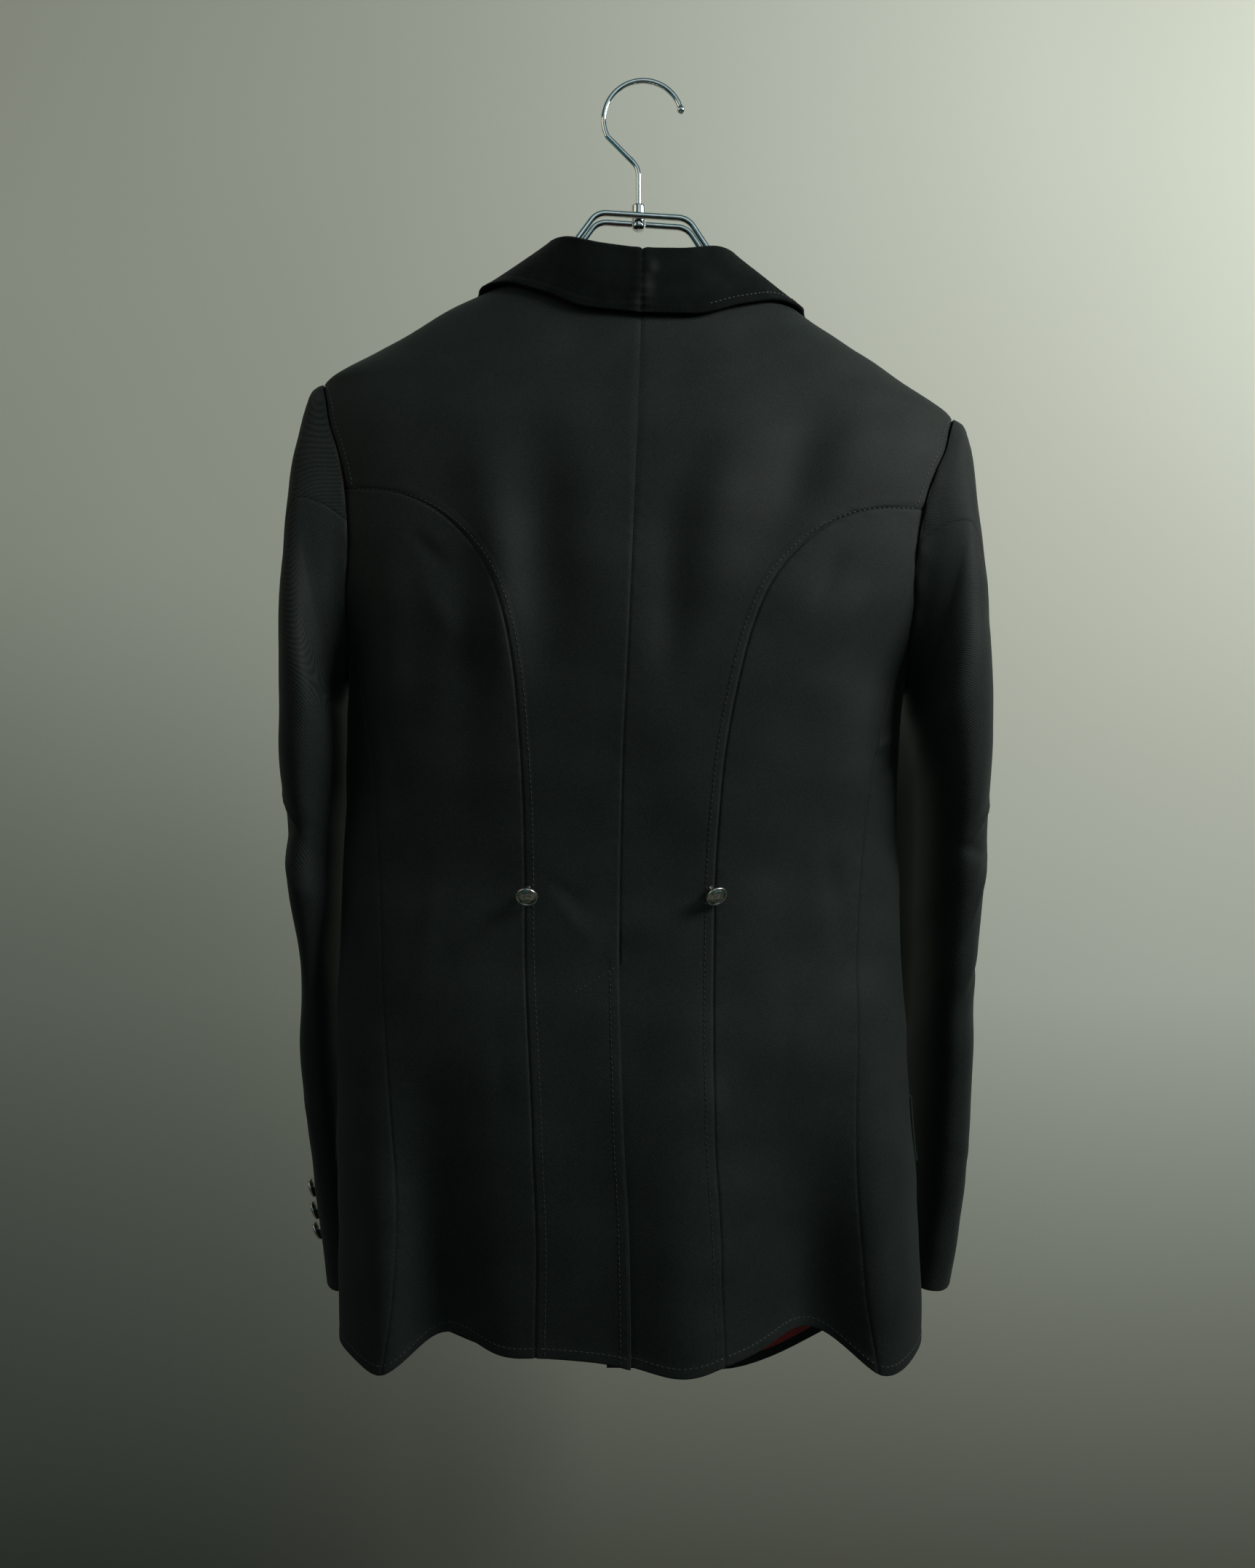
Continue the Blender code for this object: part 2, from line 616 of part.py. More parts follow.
def build_collar():
    steps = len(COLLAR_PROFILE) - 1

    def middle(u, v):
        return collar_middle(2 * u - 1, v * steps)

    def inward(u, v):
        small = 0.01
        low, high = max(u - small, 0), min(u + small, 1)
        along = middle(high, v) - middle(low, v)
        down = middle(u, min(v + small, 1)) - middle(u, max(v - small, 0))
        return along.cross(down).normalized()

    def outside(u, v):
        return middle(u, v) - inward(u, v) * (COLLAR_WALL / 2)

    cloth_wall("collar", "velvet", even(COLLAR_COLUMNS), even(steps), outside, inward, COLLAR_WALL, trim=0)


def lapel_place(u, v):
    """A lapel from the roll line (u = 0) to its outer edge, break to top."""
    roll_height = LAPEL_START + v * (ROLL_TOP[1] - 26 - LAPEL_START)
    t = (roll_height - BREAK_HEIGHT) / (ROLL_TOP[1] - BREAK_HEIGHT)
    roll_out = -FRONT_LAP + t * (ROLL_TOP[0] + FRONT_LAP)
    height = roll_height + u * (lapel_edge["height"](v) - roll_height)
    out = roll_out + u * (lapel_edge["out"](v) - roll_out)
    turn = turn_at(abs(out), height, front=True)
    return (360 - turn if out < 0 else turn), height


def build_lapels():
    for side, label in ((-1, "left"), (1, "right")):
        extra = TUCK if side > 0 else 0.0
        panel_wall(
            "lapel_" + label, "wool", even(5), even(10), lapel_place, side,
            depth=lambda turn, height, extra=extra: -extra * lap_out(turn, height) / TUCK, inset=-LAPEL_LIFT,
        )


def build_flaps():
    def place(u, v):
        turn = FLAP["start"] + u * (FLAP["end"] - FLAP["start"])
        top = FLAP["top_side"] + u * (FLAP["top_front"] - FLAP["top_side"])
        return turn, top - (1 - v) * (FLAP["drop"] + FLAP["slope"] * math.sin(math.pi * u))

    for side, label in ((-1, "left"), (1, "right")):
        panel_wall("pocket_flap_" + label, "wool", even(6), even(3), place, side, inset=-FLAP_LIFT)


# Sleeves
def sleeve_point(side, turn, share):
    """A sleeve's inner surface: degrees round from its top by the back, and share of its length."""
    line = {name: sleeve_line[name](share) for name in sleeve_line}
    angle = math.radians(turn)
    exponent = 2 / SLEEVE_SQUARE
    cosine, sine = math.cos(angle), math.sin(angle)
    over = math.copysign(power(abs(cosine), exponent), cosine)
    back = math.copysign(power(abs(sine), exponent), sine)
    label = "left" if side < 0 else "right"
    outer_x, inner_x = line["outer_" + label], line["inner_" + label]
    middle_x = (outer_x + inner_x) / 2
    middle_z = (line["outer_z"] + line["inner_z"]) / 2
    x = middle_x + over * (outer_x - inner_x) / 2
    z = middle_z + over * (line["outer_z"] - line["inner_z"]) / 2
    y = line["forward"] - back * line["breadth"]
    x -= line["curl"] * max(-back, 0) ** 2  # the front of the sleeve curls round the body
    rise = 0.0
    for i in range(len(SLEEVE_FOLDS["rise"])):
        if SLEEVE_FOLDS["side"][i] != side:
            continue
        along = (share - SLEEVE_FOLDS["along"][i]) / SLEEVE_FOLDS["long"][i]
        away = ((turn - SLEEVE_FOLDS["turn"][i] + 180) % 360 - 180) / SLEEVE_FOLDS["round"][i]
        rise += SLEEVE_FOLDS["rise"][i] * math.exp(-along * along - away * away)
    x += rise * over
    y -= rise * back
    hung = hang(side * x, y, z)
    hung.x += arm_sway["aside"](share)
    near = step_up(1 - share / CAP_SHARE)
    if near > 0:
        body_turn, height = armhole_place(turn % 360)
        gap = ARMHOLE_GAP + UNDERARM_GAP * max(-cosine, 0)
        edge = body_point(side * body_turn, height) + Vector((side * gap, 0, 0))
        ring = hang(side * head_ring(over, "outer_left", "inner_left"), -back * SLEEVE["breadth"][0], head_ring(over, "outer_z", "inner_z"))
        hung = hung + (edge - ring) * near
    return hung


def head_ring(over, outer, inner):
    """The sleeve's plain first ring, before it takes up the armhole's form."""
    high, low = SLEEVE[outer][0], SLEEVE[inner][0]
    return (high + low) / 2 + over * (high - low) / 2


def sleeve_outward(side, turn, share):
    low, high = max(share - 0.004, 0), min(share + 0.004, 1)
    around = sleeve_point(side, turn + 1, share) - sleeve_point(side, turn - 1, share)
    along = sleeve_point(side, turn, high) - sleeve_point(side, turn, low)
    return around.cross(along).normalized() * side


def build_sleeves():
    def wall(name, side, start, end):
        def turn_of(u, v):
            return start(v) + u * (end(v) - start(v))

        cloth_wall(
            name, "wool", even(SLEEVE_COLUMNS), even(SLEEVE_ROWS),
            lambda u, v: sleeve_point(side, turn_of(u, v), v),
            lambda u, v: sleeve_outward(side, turn_of(u, v), v),
            WOOL_WALL,
        )

    hind = sleeve_line["hind_seam"]
    for side, label in ((-1, "left"), (1, "right")):
        wall("upper_sleeve_" + label, side, lambda v: FOREARM_SEAM - 360, hind)
        wall("under_sleeve_" + label, side, hind, lambda v: FOREARM_SEAM)


# Buttons
def button_mesh(shank):
    """A domed metal button with a plain rim, turned about Z, with its shank below."""
    rim, dome = BUTTON_RADIUS, 3.4
    profile = [
        (0, shank + dome),
        (rim * 0.45, shank + dome * 0.88),
        (rim * 0.8, shank + dome * 0.5),
        (rim * 0.86, shank + dome * 0.62),
        (rim, shank + dome * 0.4),
        (rim * 0.94, shank),
        (1.7, shank - 0.3),
        (1.7, 0),
        (0, 0),
    ]
    mesh = bpy.data.meshes.new("button")
    mesh.from_pydata([(x * MM, 0, z * MM) for x, z in profile], [(i, i + 1) for i in range(len(profile) - 1)], [])
    return mesh


def place_button(name, point, outward, shank):
    made = make_object(name, button_mesh(shank), "silver")
    turned = made.modifiers.new("turned", "SCREW")
    turned.steps = turned.render_steps = BUTTON_STEPS
    turned.use_merge_vertices = True
    turned.merge_threshold = 0.00001
    turned.use_smooth_shade = True
    made.matrix_world = Matrix.Translation(point * MM) @ outward.to_track_quat("Z", "Y").to_matrix().to_4x4()


def build_buttons():
    for side, label in ((-1, "left"), (1, "right")):
        turn = side * turn_at(*WAIST_BUTTON)
        point = body_point(turn, WAIST_BUTTON[1])
        normal = body_normal(turn, WAIST_BUTTON[1])
        droop = math.radians(WAIST_DROOP)
        lean = 0.3 if side > 0 else 0.0
        outward = (normal * math.cos(droop) + Vector((lean, 0, -math.sin(droop)))).normalized()
        place_button("button_back_" + label, point + normal * BUTTON_LIFT, outward, WAIST_SHANK)
        for i, share in enumerate(CUFF_BUTTONS, 1):
            point = sleeve_point(side, CUFF_BUTTON_TURN[side], share)
            normal = sleeve_outward(side, CUFF_BUTTON_TURN[side], share)
            outward = (normal + Vector((0, 0, -0.22 - 0.06 * i))).normalized()
            foot = point + normal * (WOOL_WALL + BUTTON_LIFT)
            place_button(f"button_cuff_{label}_{i}", foot, outward, SHANK + 1.2)
    for i, height in enumerate(FRONT_BUTTON_HEIGHTS, 1):
        point = body_point(180, height) + body_normal(180, height) * (TUCK + SEAM_GAP)
        place_button(f"button_front_{i}", point, body_normal(180, height), SHANK)


# Hanger
def wire_curve(name, points, radius, radii=None, cyclic=False, sides=2):
    curve = bpy.data.curves.new(name, "CURVE")
    curve.dimensions = "3D"
    curve.bevel_depth = radius * MM
    curve.bevel_resolution = sides
    curve.use_fill_caps = True
    spline = curve.splines.new("POLY")
    spline.points.add(len(points) - 1)
    for i, (target, point) in enumerate(zip(spline.points, points)):
        target.co = (point[0] * MM, point[1] * MM, point[2] * MM, 1)
        target.radius = radii[i] if radii else 1
    spline.use_cyclic_u = cyclic
    spline.use_smooth = True
    return make_object(name, curve, "chrome")


def rounded(corners, bend, steps=5, closed=False):
    """A path through the corners with each one turned in an arc of about this radius."""
    path = []
    for i, corner in enumerate(corners):
        if not closed and i in (0, len(corners) - 1):
            path.append(corner)
            continue
        before = corners[i - 1] - corner
        after = corners[(i + 1) % len(corners)] - corner
        reach = min(bend, before.length * 0.49, after.length * 0.49)
        start = corner + before.normalized() * reach
        end = corner + after.normalized() * reach
        for k in range(steps + 1):
            t = k / steps
            path.append(start * (1 - t) ** 2 + corner * 2 * t * (1 - t) + end * t * t)
    return path


def build_hook():
    centre = Vector((0, 0, -HOOK_RADIUS + HOOK_WIRE))
    points = []
    radii = []
    arc_steps = 26
    ball_angle = math.radians(HOOK_BALL_ANGLE)
    # The wire swells to a ball at its tip.
    for k in range(5):
        off = HOOK_BALL * math.cos(math.pi * k / 5 * 0.8) * -1
        angle = ball_angle + off / HOOK_RADIUS
        points.append(centre + Vector((math.cos(angle), 0, math.sin(angle))) * HOOK_RADIUS)
        radii.append(max(math.sqrt(max(HOOK_BALL**2 - off * off, 0)), 0.5) / HOOK_WIRE)
    first = ball_angle + HOOK_BALL / HOOK_RADIUS
    last = math.radians(HOOK_LEAVE_ANGLE)
    for k in range(arc_steps + 1):
        angle = first + (last - first) * k / arc_steps
        points.append(centre + Vector((math.cos(angle), 0, math.sin(angle))) * HOOK_RADIUS)
        radii.append(1)
    bend = Vector((HOOK_BEND[0], 0, HOOK_BEND[1]))
    foot = Vector((STEM_FOOT[0], 0, STEM_FOOT[1]))
    for point in rounded([points[-1], bend, foot], 6)[1:]:
        points.append(point)
        radii.append(1)
    wire_curve("hanger_hook", points, HOOK_WIRE, radii)


def build_ferrule():
    socket = HOOK_WIRE + SEAM_GAP
    depth = STEM_FOOT[1] - SEAM_GAP
    profile = [
        (0, depth),
        (socket, depth),
        (socket, FERRULE_TOP),
        (FERRULE_RADIUS - 0.9, FERRULE_TOP),
        (FERRULE_RADIUS, FERRULE_TOP - 0.9),
        (FERRULE_RADIUS, FERRULE_FOOT + 2.6),
        (FERRULE_RADIUS * 0.8, FERRULE_FOOT + 1),
        (0, FERRULE_FOOT),
    ]
    mesh = bpy.data.meshes.new("hanger_ferrule")
    mesh.from_pydata([(x * MM, 0, z * MM) for x, z in profile], [(i, i + 1) for i in range(len(profile) - 1)], [])
    made = make_object("hanger_ferrule", mesh, "chrome")
    turned = made.modifiers.new("turned", "SCREW")
    turned.steps = turned.render_steps = 20
    turned.use_merge_vertices = True
    turned.merge_threshold = 0.00001
    turned.use_smooth_shade = True
    made.location = (STEM_FOOT[0] * MM, 0, 0)


def build_wires():
    """One closed wire: two bars side by side, joined at the shoulder tips."""
    slope = (SHOULDER_POINT - SIDE_NECK) / (body["wide"](SHOULDER_POINT) - body["wide"](SIDE_NECK))
    tip_height = SIDE_NECK + slope * (BAR_TIP - body["wide"](SIDE_NECK)) - BAR_BELOW_RIDGE
    half = [(BAR_HALF, BAR_HEIGHT), BAR_CORNER, (BAR_TIP, tip_height)]
    corners = []
    for y, order in ((-BAR_SPACING, 1), (BAR_SPACING, -1)):
        run = [(-x, z) for x, z in reversed(half)] + half
        corners += [hang(x, y, z) for x, z in run[::order]]
    wire_curve("hanger_wire", rounded(corners, BAR_BEND, steps=4, closed=True), BAR_WIRE, cyclic=True)


for item in list(bpy.data.objects):
    bpy.data.objects.remove(item)
parts = bpy.data.collections.new("riding_jacket")
bpy.context.scene.collection.children.link(parts)
build_body()
build_lining()
build_collar()
build_lapels()
build_flaps()
build_sleeves()
build_buttons()
build_hook()
build_ferrule()
build_wires()
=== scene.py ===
import math

import bmesh
import bpy
import numpy as np
from mathutils import Matrix, Vector
from mathutils.kdtree import KDTree


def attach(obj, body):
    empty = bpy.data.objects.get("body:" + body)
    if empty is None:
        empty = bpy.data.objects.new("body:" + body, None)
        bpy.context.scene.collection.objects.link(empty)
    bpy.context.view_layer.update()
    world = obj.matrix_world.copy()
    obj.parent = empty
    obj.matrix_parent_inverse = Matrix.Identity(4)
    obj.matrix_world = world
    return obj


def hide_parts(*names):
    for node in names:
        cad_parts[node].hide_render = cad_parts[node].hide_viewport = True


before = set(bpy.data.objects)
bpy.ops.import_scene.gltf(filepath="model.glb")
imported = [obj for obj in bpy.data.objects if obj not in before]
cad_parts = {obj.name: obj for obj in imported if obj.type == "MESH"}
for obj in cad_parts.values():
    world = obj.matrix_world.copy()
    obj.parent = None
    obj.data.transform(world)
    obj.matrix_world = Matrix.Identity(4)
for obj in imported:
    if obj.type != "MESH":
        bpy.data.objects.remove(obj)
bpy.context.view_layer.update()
mm = 0.001
print("frame loaded")


# Values along a piece
def curveThrough(stations, values):
    x = np.asarray(stations, float)
    y = np.asarray(values, float)
    if x[0] > x[-1]:
        x, y = x[::-1], y[::-1]
    steps = np.diff(y) / np.diff(x)
    both = steps[:-1] * steps[1:]
    total = np.where(both > 0, steps[:-1] + steps[1:], 1)
    slopes = np.concatenate([steps[:1], np.where(both > 0, 2 * both / total, 0), steps[-1:]])

    def value(at):
        at = np.clip(at, x[0], x[-1])
        i = np.clip(np.searchsorted(x, at) - 1, 0, len(x) - 2)
        width = x[i + 1] - x[i]
        t = (at - x[i]) / width
        start = t * (1 - t) ** 2 * width * slopes[i]
        end = t * t * (1 - t) * width * slopes[i + 1]
        return y[i] + t * t * (3 - 2 * t) * (y[i + 1] - y[i]) + start - end

    return value


def columnsOf(table, along):
    return {name: curveThrough(table[along], table[name]) for name in table if name != along}


def stepUp(value):
    t = np.clip(value, 0, 1)
    return t * t * (3 - 2 * t)


def signedPower(value, exponent):
    return np.copysign(np.abs(value) ** exponent, value)


def between(first, last, share):
    return first + share * (last - first)


def unit(vectors):
    return vectors / np.maximum(np.linalg.norm(vectors, axis=-1, keepdims=True), 1e-12)


def stack(x, y, z):
    return np.stack(np.broadcast_arrays(x, y, z), axis=-1).astype(float)


# The hung body: level sections, sway off the hook and tilt of the shoulders
cloth = {"wall": 2.2, "gap": 0.3, "liningWall": 1.0, "collarWall": 2.0}
body = {
    "height": (-930, -845, -773, -706, -640, -593, -546, -470, -415, -350, -300, -260, -222, -201, -180, -140,
               -110),
    "wide": (199, 199, 198, 196, 194, 192, 190, 188, 190, 213, 221, 221, 214, 183, 151, 84, 34),
    "back": (72, 72, 74, 73, 69, 63, 60, 67, 73, 77, 76, 73, 62, 55, 48, 32, 20),
    "front": (60, 60, 61, 62, 60, 58, 57, 63, 68, 70, 68, 62, 50, 46, 42, 34, 28),
    "square": (2.2, 2.2, 2.2, 2.2, 2.2, 2.2, 2.2, 2.3, 2.4, 2.5, 2.5, 2.5, 2.3, 2.25, 2.2, 2.1, 2.1),
}
sway = {
    "height": (-930, -845, -773, -706, -640, -593, -546, -462, -406, -322, -245, -180, -100, 10),
    "aside": (-9, -9.2, -10.1, -13.2, -15.1, -16, -15.6, -13.7, -11, -7.3, -4.1, -2, -0.5, 0),
}
tilt = {
    "height": (-930, -560, -300, -230, -180, -110, 10),
    "slope": (0, 0, 0.036, 0.053, 0.06, 0.064, 0.064),
}
# Folds: across and height of both ends, half breadth, rise, and 1 where it runs out at the hem
backFolds = {
    "topX": (-158, 172, -124, 116, -66, 122, -102, -155, -84, 30, -160, -104, 53, 24),
    "lowX": (-158, 166, -124, 116, -48, 80, -100, -153, -84, 32, -104, -66, 52, 26),
    "top": (-600, -560, -590, -640, -195, -200, -300, -305, -350, -600, -690, -230, -220, -270),
    "low": (-850, -850, -850, -850, -470, -360, -505, -480, -430, -850, -850, -450, -400, -450),
    "reach": (23, 24, 28, 32, 19, 19, 16, 15, 13, 34, 20, 15, 17, 12),
    "rise": (13, 13, -19, -23, -5.5, -5.5, -5, 4, 3, 13, -3, 4, 3.5, -2.5),
    "open": (1, 1, 1, 1, 0, 0, 0, 0, 0, 1, 1, 0, 0, 0),
}
frontFolds = {
    "topX": (-128, 130, -70, 62, 150, -148),
    "lowX": (-120, 118, -84, 74, 140, -138),
    "top": (-640, -620, -300, -300, -330, -340),
    "low": (-890, -890, -440, -430, -520, -540),
    "reach": (26, 28, 18, 18, 15, 15),
    "rise": (10, 9, -4, -4, 4, 4),
    "open": (1, 1, 0, 0, 0, 0),
}
foldDrop, foldLift = 0.5, 0.6  # how far the hem falls at a fold that stands out, and lifts at one that sinks
bodyAt = columnsOf(body, "height")
swayAt = columnsOf(sway, "height")["aside"]
tiltAt = columnsOf(tilt, "height")["slope"]


def hang(x, y, z):
    return stack(x + swayAt(z), y, z - tiltAt(z) * x)


def foldRise(folds, x, height):
    lift = np.zeros_like(x)
    drop = np.zeros_like(x)
    for i, rise in enumerate(folds["rise"]):
        down = (folds["top"][i] - height) / (folds["top"][i] - folds["low"][i])
        middle = between(folds["topX"][i], folds["lowX"][i], np.clip(down, 0, 1))
        across = np.exp(-(((x - middle) / folds["reach"][i]) ** 2))
        if folds["open"][i]:
            lift += rise * across * stepUp(down)
            drop += rise * across * stepUp(2 * down - 1) * (foldDrop if rise > 0 else foldLift)
        else:
            lift += rise * across * np.sin(math.pi * np.clip(down, 0, 1)) ** 2
    return lift, drop


def bodyPoint(turn, height):
    turn, height = np.broadcast_arrays(np.asarray(turn, float), np.asarray(height, float))
    angle = np.radians(turn)
    exponent = 2 / bodyAt["square"](height)
    sine, cosine = np.sin(angle), np.cos(angle)
    x = bodyAt["wide"](height) * signedPower(sine, exponent)
    depth = np.where(cosine >= 0, bodyAt["back"](height), bodyAt["front"](height))
    backLift, backDrop = foldRise(backFolds, x, height)
    frontLift, frontDrop = foldRise(frontFolds, x, height)
    lift = np.where(cosine >= 0, backLift, frontLift) * stepUp(2.2 * np.abs(cosine))
    out = depth * np.abs(cosine) ** exponent + lift
    return hang(x, np.where(cosine >= 0, -out, out), height - np.where(cosine >= 0, backDrop, frontDrop))


def bodyNormal(turn, height):
    around = bodyPoint(turn + 0.3, height) - bodyPoint(turn - 0.3, height)
    up = bodyPoint(turn, height + 0.6) - bodyPoint(turn, height - 0.6)
    return unit(np.cross(around, up))


def turnAt(out, height, front=False):
    share = np.minimum(np.abs(out) / bodyAt["wide"](height), 1)
    turn = np.degrees(np.arcsin(share ** (bodyAt["square"](height) / 2)))
    turn = 180 - turn if front else turn
    return np.copysign(turn, out)


def frontTurn(out, height):
    # in front, round from the side; past the middle where out is less than nothing
    turn = turnAt(np.abs(out), height, front=True)
    return np.where(out < 0, 360 - turn, turn)


# Edges of the body panels, in rows up from the hem
seams = {
    "rows": 20, "armholeBack": 4, "armholeFront": 12, "shoulder": 5,
    "armholeHeight": -318, "armholeTall": 96, "armholeBackReach": 50, "armholeFrontReach": 48,
    "cornerTurn": 77, "sideTurn": 127.8, "shoulderPoint": -222, "sideNeck": -140, "neckRise": 26,
    "ventTop": -597, "ventSlant": 19, "underlap": 34, "tuck": 3.4, "tuckFade": 52,
    "tuckReach": 48,
}
backSeam = {
    "share": (0, 0.12, 0.24, 0.37, 0.47, 0.57, 0.65, 0.72, 0.79, 0.85, 0.91, 0.96, 1),
    "out": (60, 58, 57.5, 60.3, 61, 63.5, 68, 75, 86, 103, 130, 158, 188.4),
    "height": (-845, -773, -700, -593, -540, -480, -435, -392, -357, -331, -309, -299, -296),
}
sideSeam = {
    "share": (0, 0.12, 0.24, 0.42, 0.56, 0.7, 0.85, 1),
    "out": (160, 152, 149, 154, 157, 162, 171, 185),
    "height": (-858, -804, -742, -640, -560, -490, -435, -376.8),
}
centreBack = {
    "row": (0, 3, 6, 7, 8, 12, 16, 20, 24, 29),
    "height": (-846, -755, -650, -616, -597, -490, -382, -300, -215, -166),
}
fronts = {
    "hem": {-1: -903, 1: -912}, "hemFall": (0.5, 0.37), "breakHeight": -440, "lap": 17,
    "lapTop": -386, "liftStart": 158, "liftTurn": 11, "rollTop": (66, -166), "closing": 0.92,
}
backSeamAt = columnsOf(backSeam, "share")
sideSeamAt = columnsOf(sideSeam, "share")
centreBackAt = columnsOf(centreBack, "row")["height"]
backRowCount = seams["rows"] + seams["armholeBack"] + seams["shoulder"]
frontRowCount = seams["rows"] + seams["armholeFront"] + seams["shoulder"]


def armholePlace(turn):
    angle = np.radians(turn)
    height = seams["armholeHeight"] + seams["armholeTall"] * np.cos(angle)
    sine = np.sin(angle)
    half = bodyAt["square"](height) / 2
    back = np.clip(seams["armholeBackReach"] * sine / bodyAt["back"](height), 0, 1)
    front = np.clip(-seams["armholeFrontReach"] * sine / bodyAt["front"](height), 0, 1)
    behind = np.degrees(np.arccos(back**half))
    before = 180 - np.degrees(np.arccos(front**half))
    return np.where(sine >= 0, behind, before), height


def seamPlace(curves, corner, share):
    height = curves["height"](share)
    turn = turnAt(curves["out"](share), height)
    cornerTurn, cornerHeight = armholePlace(corner)
    lastHeight = curves["height"](1.0)
    near = stepUp((share - 0.9) / 0.1)
    turn = turn + near * (cornerTurn - turnAt(curves["out"](1.0), lastHeight))
    return turn, height + near * (cornerHeight - lastHeight)


def shoulderPlace(share):
    return 90.0, between(seams["shoulderPoint"], seams["sideNeck"], share)


def edgePlace(at, curves, corner, endTurn, armholeRows):
    # up the seam, along the armhole, then up the shoulder to the neck
    low = seamPlace(curves, corner, np.clip(at / seams["rows"], 0, 1))
    along = np.clip((at - seams["rows"]) / armholeRows, 0, 1)
    middle = armholePlace(between(corner, endTurn, along))
    high = shoulderPlace(np.clip((at - seams["rows"] - armholeRows) / seams["shoulder"], 0, 1))
    place = []
    for a, b, c in zip(low, middle, high):
        place.append(np.where(at <= seams["rows"], a, np.where(at <= seams["rows"] + armholeRows, b, c)))
    return place


def backEdge(at):
    return edgePlace(at, backSeamAt, seams["cornerTurn"], 0, seams["armholeBack"])


def frontEdge(at):
    return edgePlace(at, sideSeamAt, seams["sideTurn"], 360, seams["armholeFront"])


def neckline(turn):
    rise = seams["neckRise"] * np.sin(np.radians(np.maximum(turn, 0))) ** 2
    return centreBack["height"][-1] + rise


def backPlace(u, v, underlap=0):
    u = 1 - (1 - u) ** (1 + 0.8 * stepUp((v - 0.6) / 0.25))
    innerHeight = centreBackAt(v * backRowCount)
    reach = underlap * np.clip((seams["ventTop"] - innerHeight) / seams["ventSlant"], 0, 1)
    innerTurn = -turnAt(reach, innerHeight)
    outerTurn, outerHeight = backEdge(v * backRowCount)
    turn = between(innerTurn, outerTurn, u)
    height = between(innerHeight, outerHeight, u)
    sideRow = (seams["rows"] + seams["armholeBack"]) / backRowCount
    return turn, height + stepUp((v - sideRow) / (1 - sideRow)) * (neckline(turn) - height)


def sideBackPlace(u, v):
    inner = backEdge(v * seams["rows"])
    outer = frontEdge(v * seams["rows"])
    top = armholePlace(between(seams["cornerTurn"], seams["sideTurn"], u))
    first, last = backEdge(float(seams["rows"])), frontEdge(float(seams["rows"]))
    return [
        between(inner[k], outer[k], u) + v * (top[k] - first[k] - u * (last[k] - first[k]))
        for k in range(2)
    ]


def frontEdgePlace(v, side):
    closing = seams["rows"] * fronts["closing"] / frontRowCount
    low = v < closing
    rise = fronts["hem"][side] + (fronts["breakHeight"] - fronts["hem"][side]) * v / closing
    t = (v - closing) / (1 - closing)
    height = np.where(low, rise, fronts["breakHeight"] + t * (fronts["rollTop"][1] - fronts["breakHeight"]))
    out = np.where(low, -fronts["lap"], -fronts["lap"] + t * (fronts["rollTop"][0] + fronts["lap"]))
    return frontTurn(out, height), height


def frontPlace(u, v, side):
    outer = frontEdge(v * frontRowCount)
    inner = frontEdgePlace(v, side)
    at = v * frontRowCount
    armholeEnd = seams["rows"] + seams["armholeFront"]
    dive = 1 + 3 * stepUp(at / seams["rows"]) * stepUp((armholeEnd - at) / seams["armholeFront"])
    fall = 1 - (1 - u) ** dive
    start, width = fronts["hemFall"]
    fall = fall + (stepUp((u - start) / width) - u) * stepUp(1 - at / 6)
    return between(outer[0], inner[0], u), between(outer[1], inner[1], fall)


def tuckIn(turn, height):
    # how far the right back lies in, under the vent's lap
    sine = np.sin(np.radians(turn))
    out = bodyAt["wide"](height) * signedPower(sine, 2 / bodyAt["square"](height))
    low = stepUp((seams["ventTop"] + 30 - height) / 26)
    return seams["tuck"] * stepUp((seams["tuckFade"] - out) / seams["tuckReach"]) * low


def lapOut(turn, height):
    # how far the right front lies out, over the left
    beyond = stepUp((turn - fronts["liftStart"]) / fronts["liftTurn"])
    return seams["tuck"] * beyond * stepUp((fronts["lapTop"] + 14 - height) / 14)


# Materials
def toLinear(hexColour):
    parts = [int(hexColour[i : i + 2], 16) / 255 for i in (1, 3, 5)]
    return tuple(c / 12.92 if c <= 0.04045 else ((c + 0.055) / 1.055) ** 2.4 for c in parts) + (1.0,)


def addNode(tree, kind, out, inputs, stops=(), **settings):
    # a node with its settings and links; stops are the two ends of a colour ramp
    node = tree.nodes.new("ShaderNode" + kind)
    for key, value in settings.items():
        setattr(node, key, value)
    for i, (position, hexColour) in enumerate(stops):
        node.color_ramp.elements[i].position = position
        node.color_ramp.elements[i].color = toLinear(hexColour)
    for key, value in inputs.items():
        if isinstance(value, bpy.types.NodeSocket):
            tree.links.new(value, node.inputs[key])
        else:
            node.inputs[key].default_value = value
    return node if out is None else node.outputs[out]


def startMaterial(name, colour, normal, **values):
    # colour and normal are worked out on the tree; the values are the same all over
    material = bpy.data.materials.new(name)
    material.use_nodes = True
    tree = material.node_tree
    shader = tree.nodes["Principled BSDF"]
    tree.links.new(colour(tree), shader.inputs["Base Color"])
    tree.links.new(normal(tree), shader.inputs["Normal"])
    for key, value in values.items():
        shader.inputs[key.replace("_", " ")].default_value = value
    return material, tree, shader


def startPatterned(name, pattern, tones, strength, distance, **values):
    # one pattern gives both the tone, between two ends, and the relief
    def colour(tree):
        return addNode(tree, "ValToRGB", "Color", {"Fac": pattern(tree)}, stops=tones)

    def normal(tree):
        inputs = {"Height": pattern(tree), "Strength": strength, "Distance": distance}
        return addNode(tree, "Bump", "Normal", inputs)

    return startMaterial(name, colour, normal, **values)


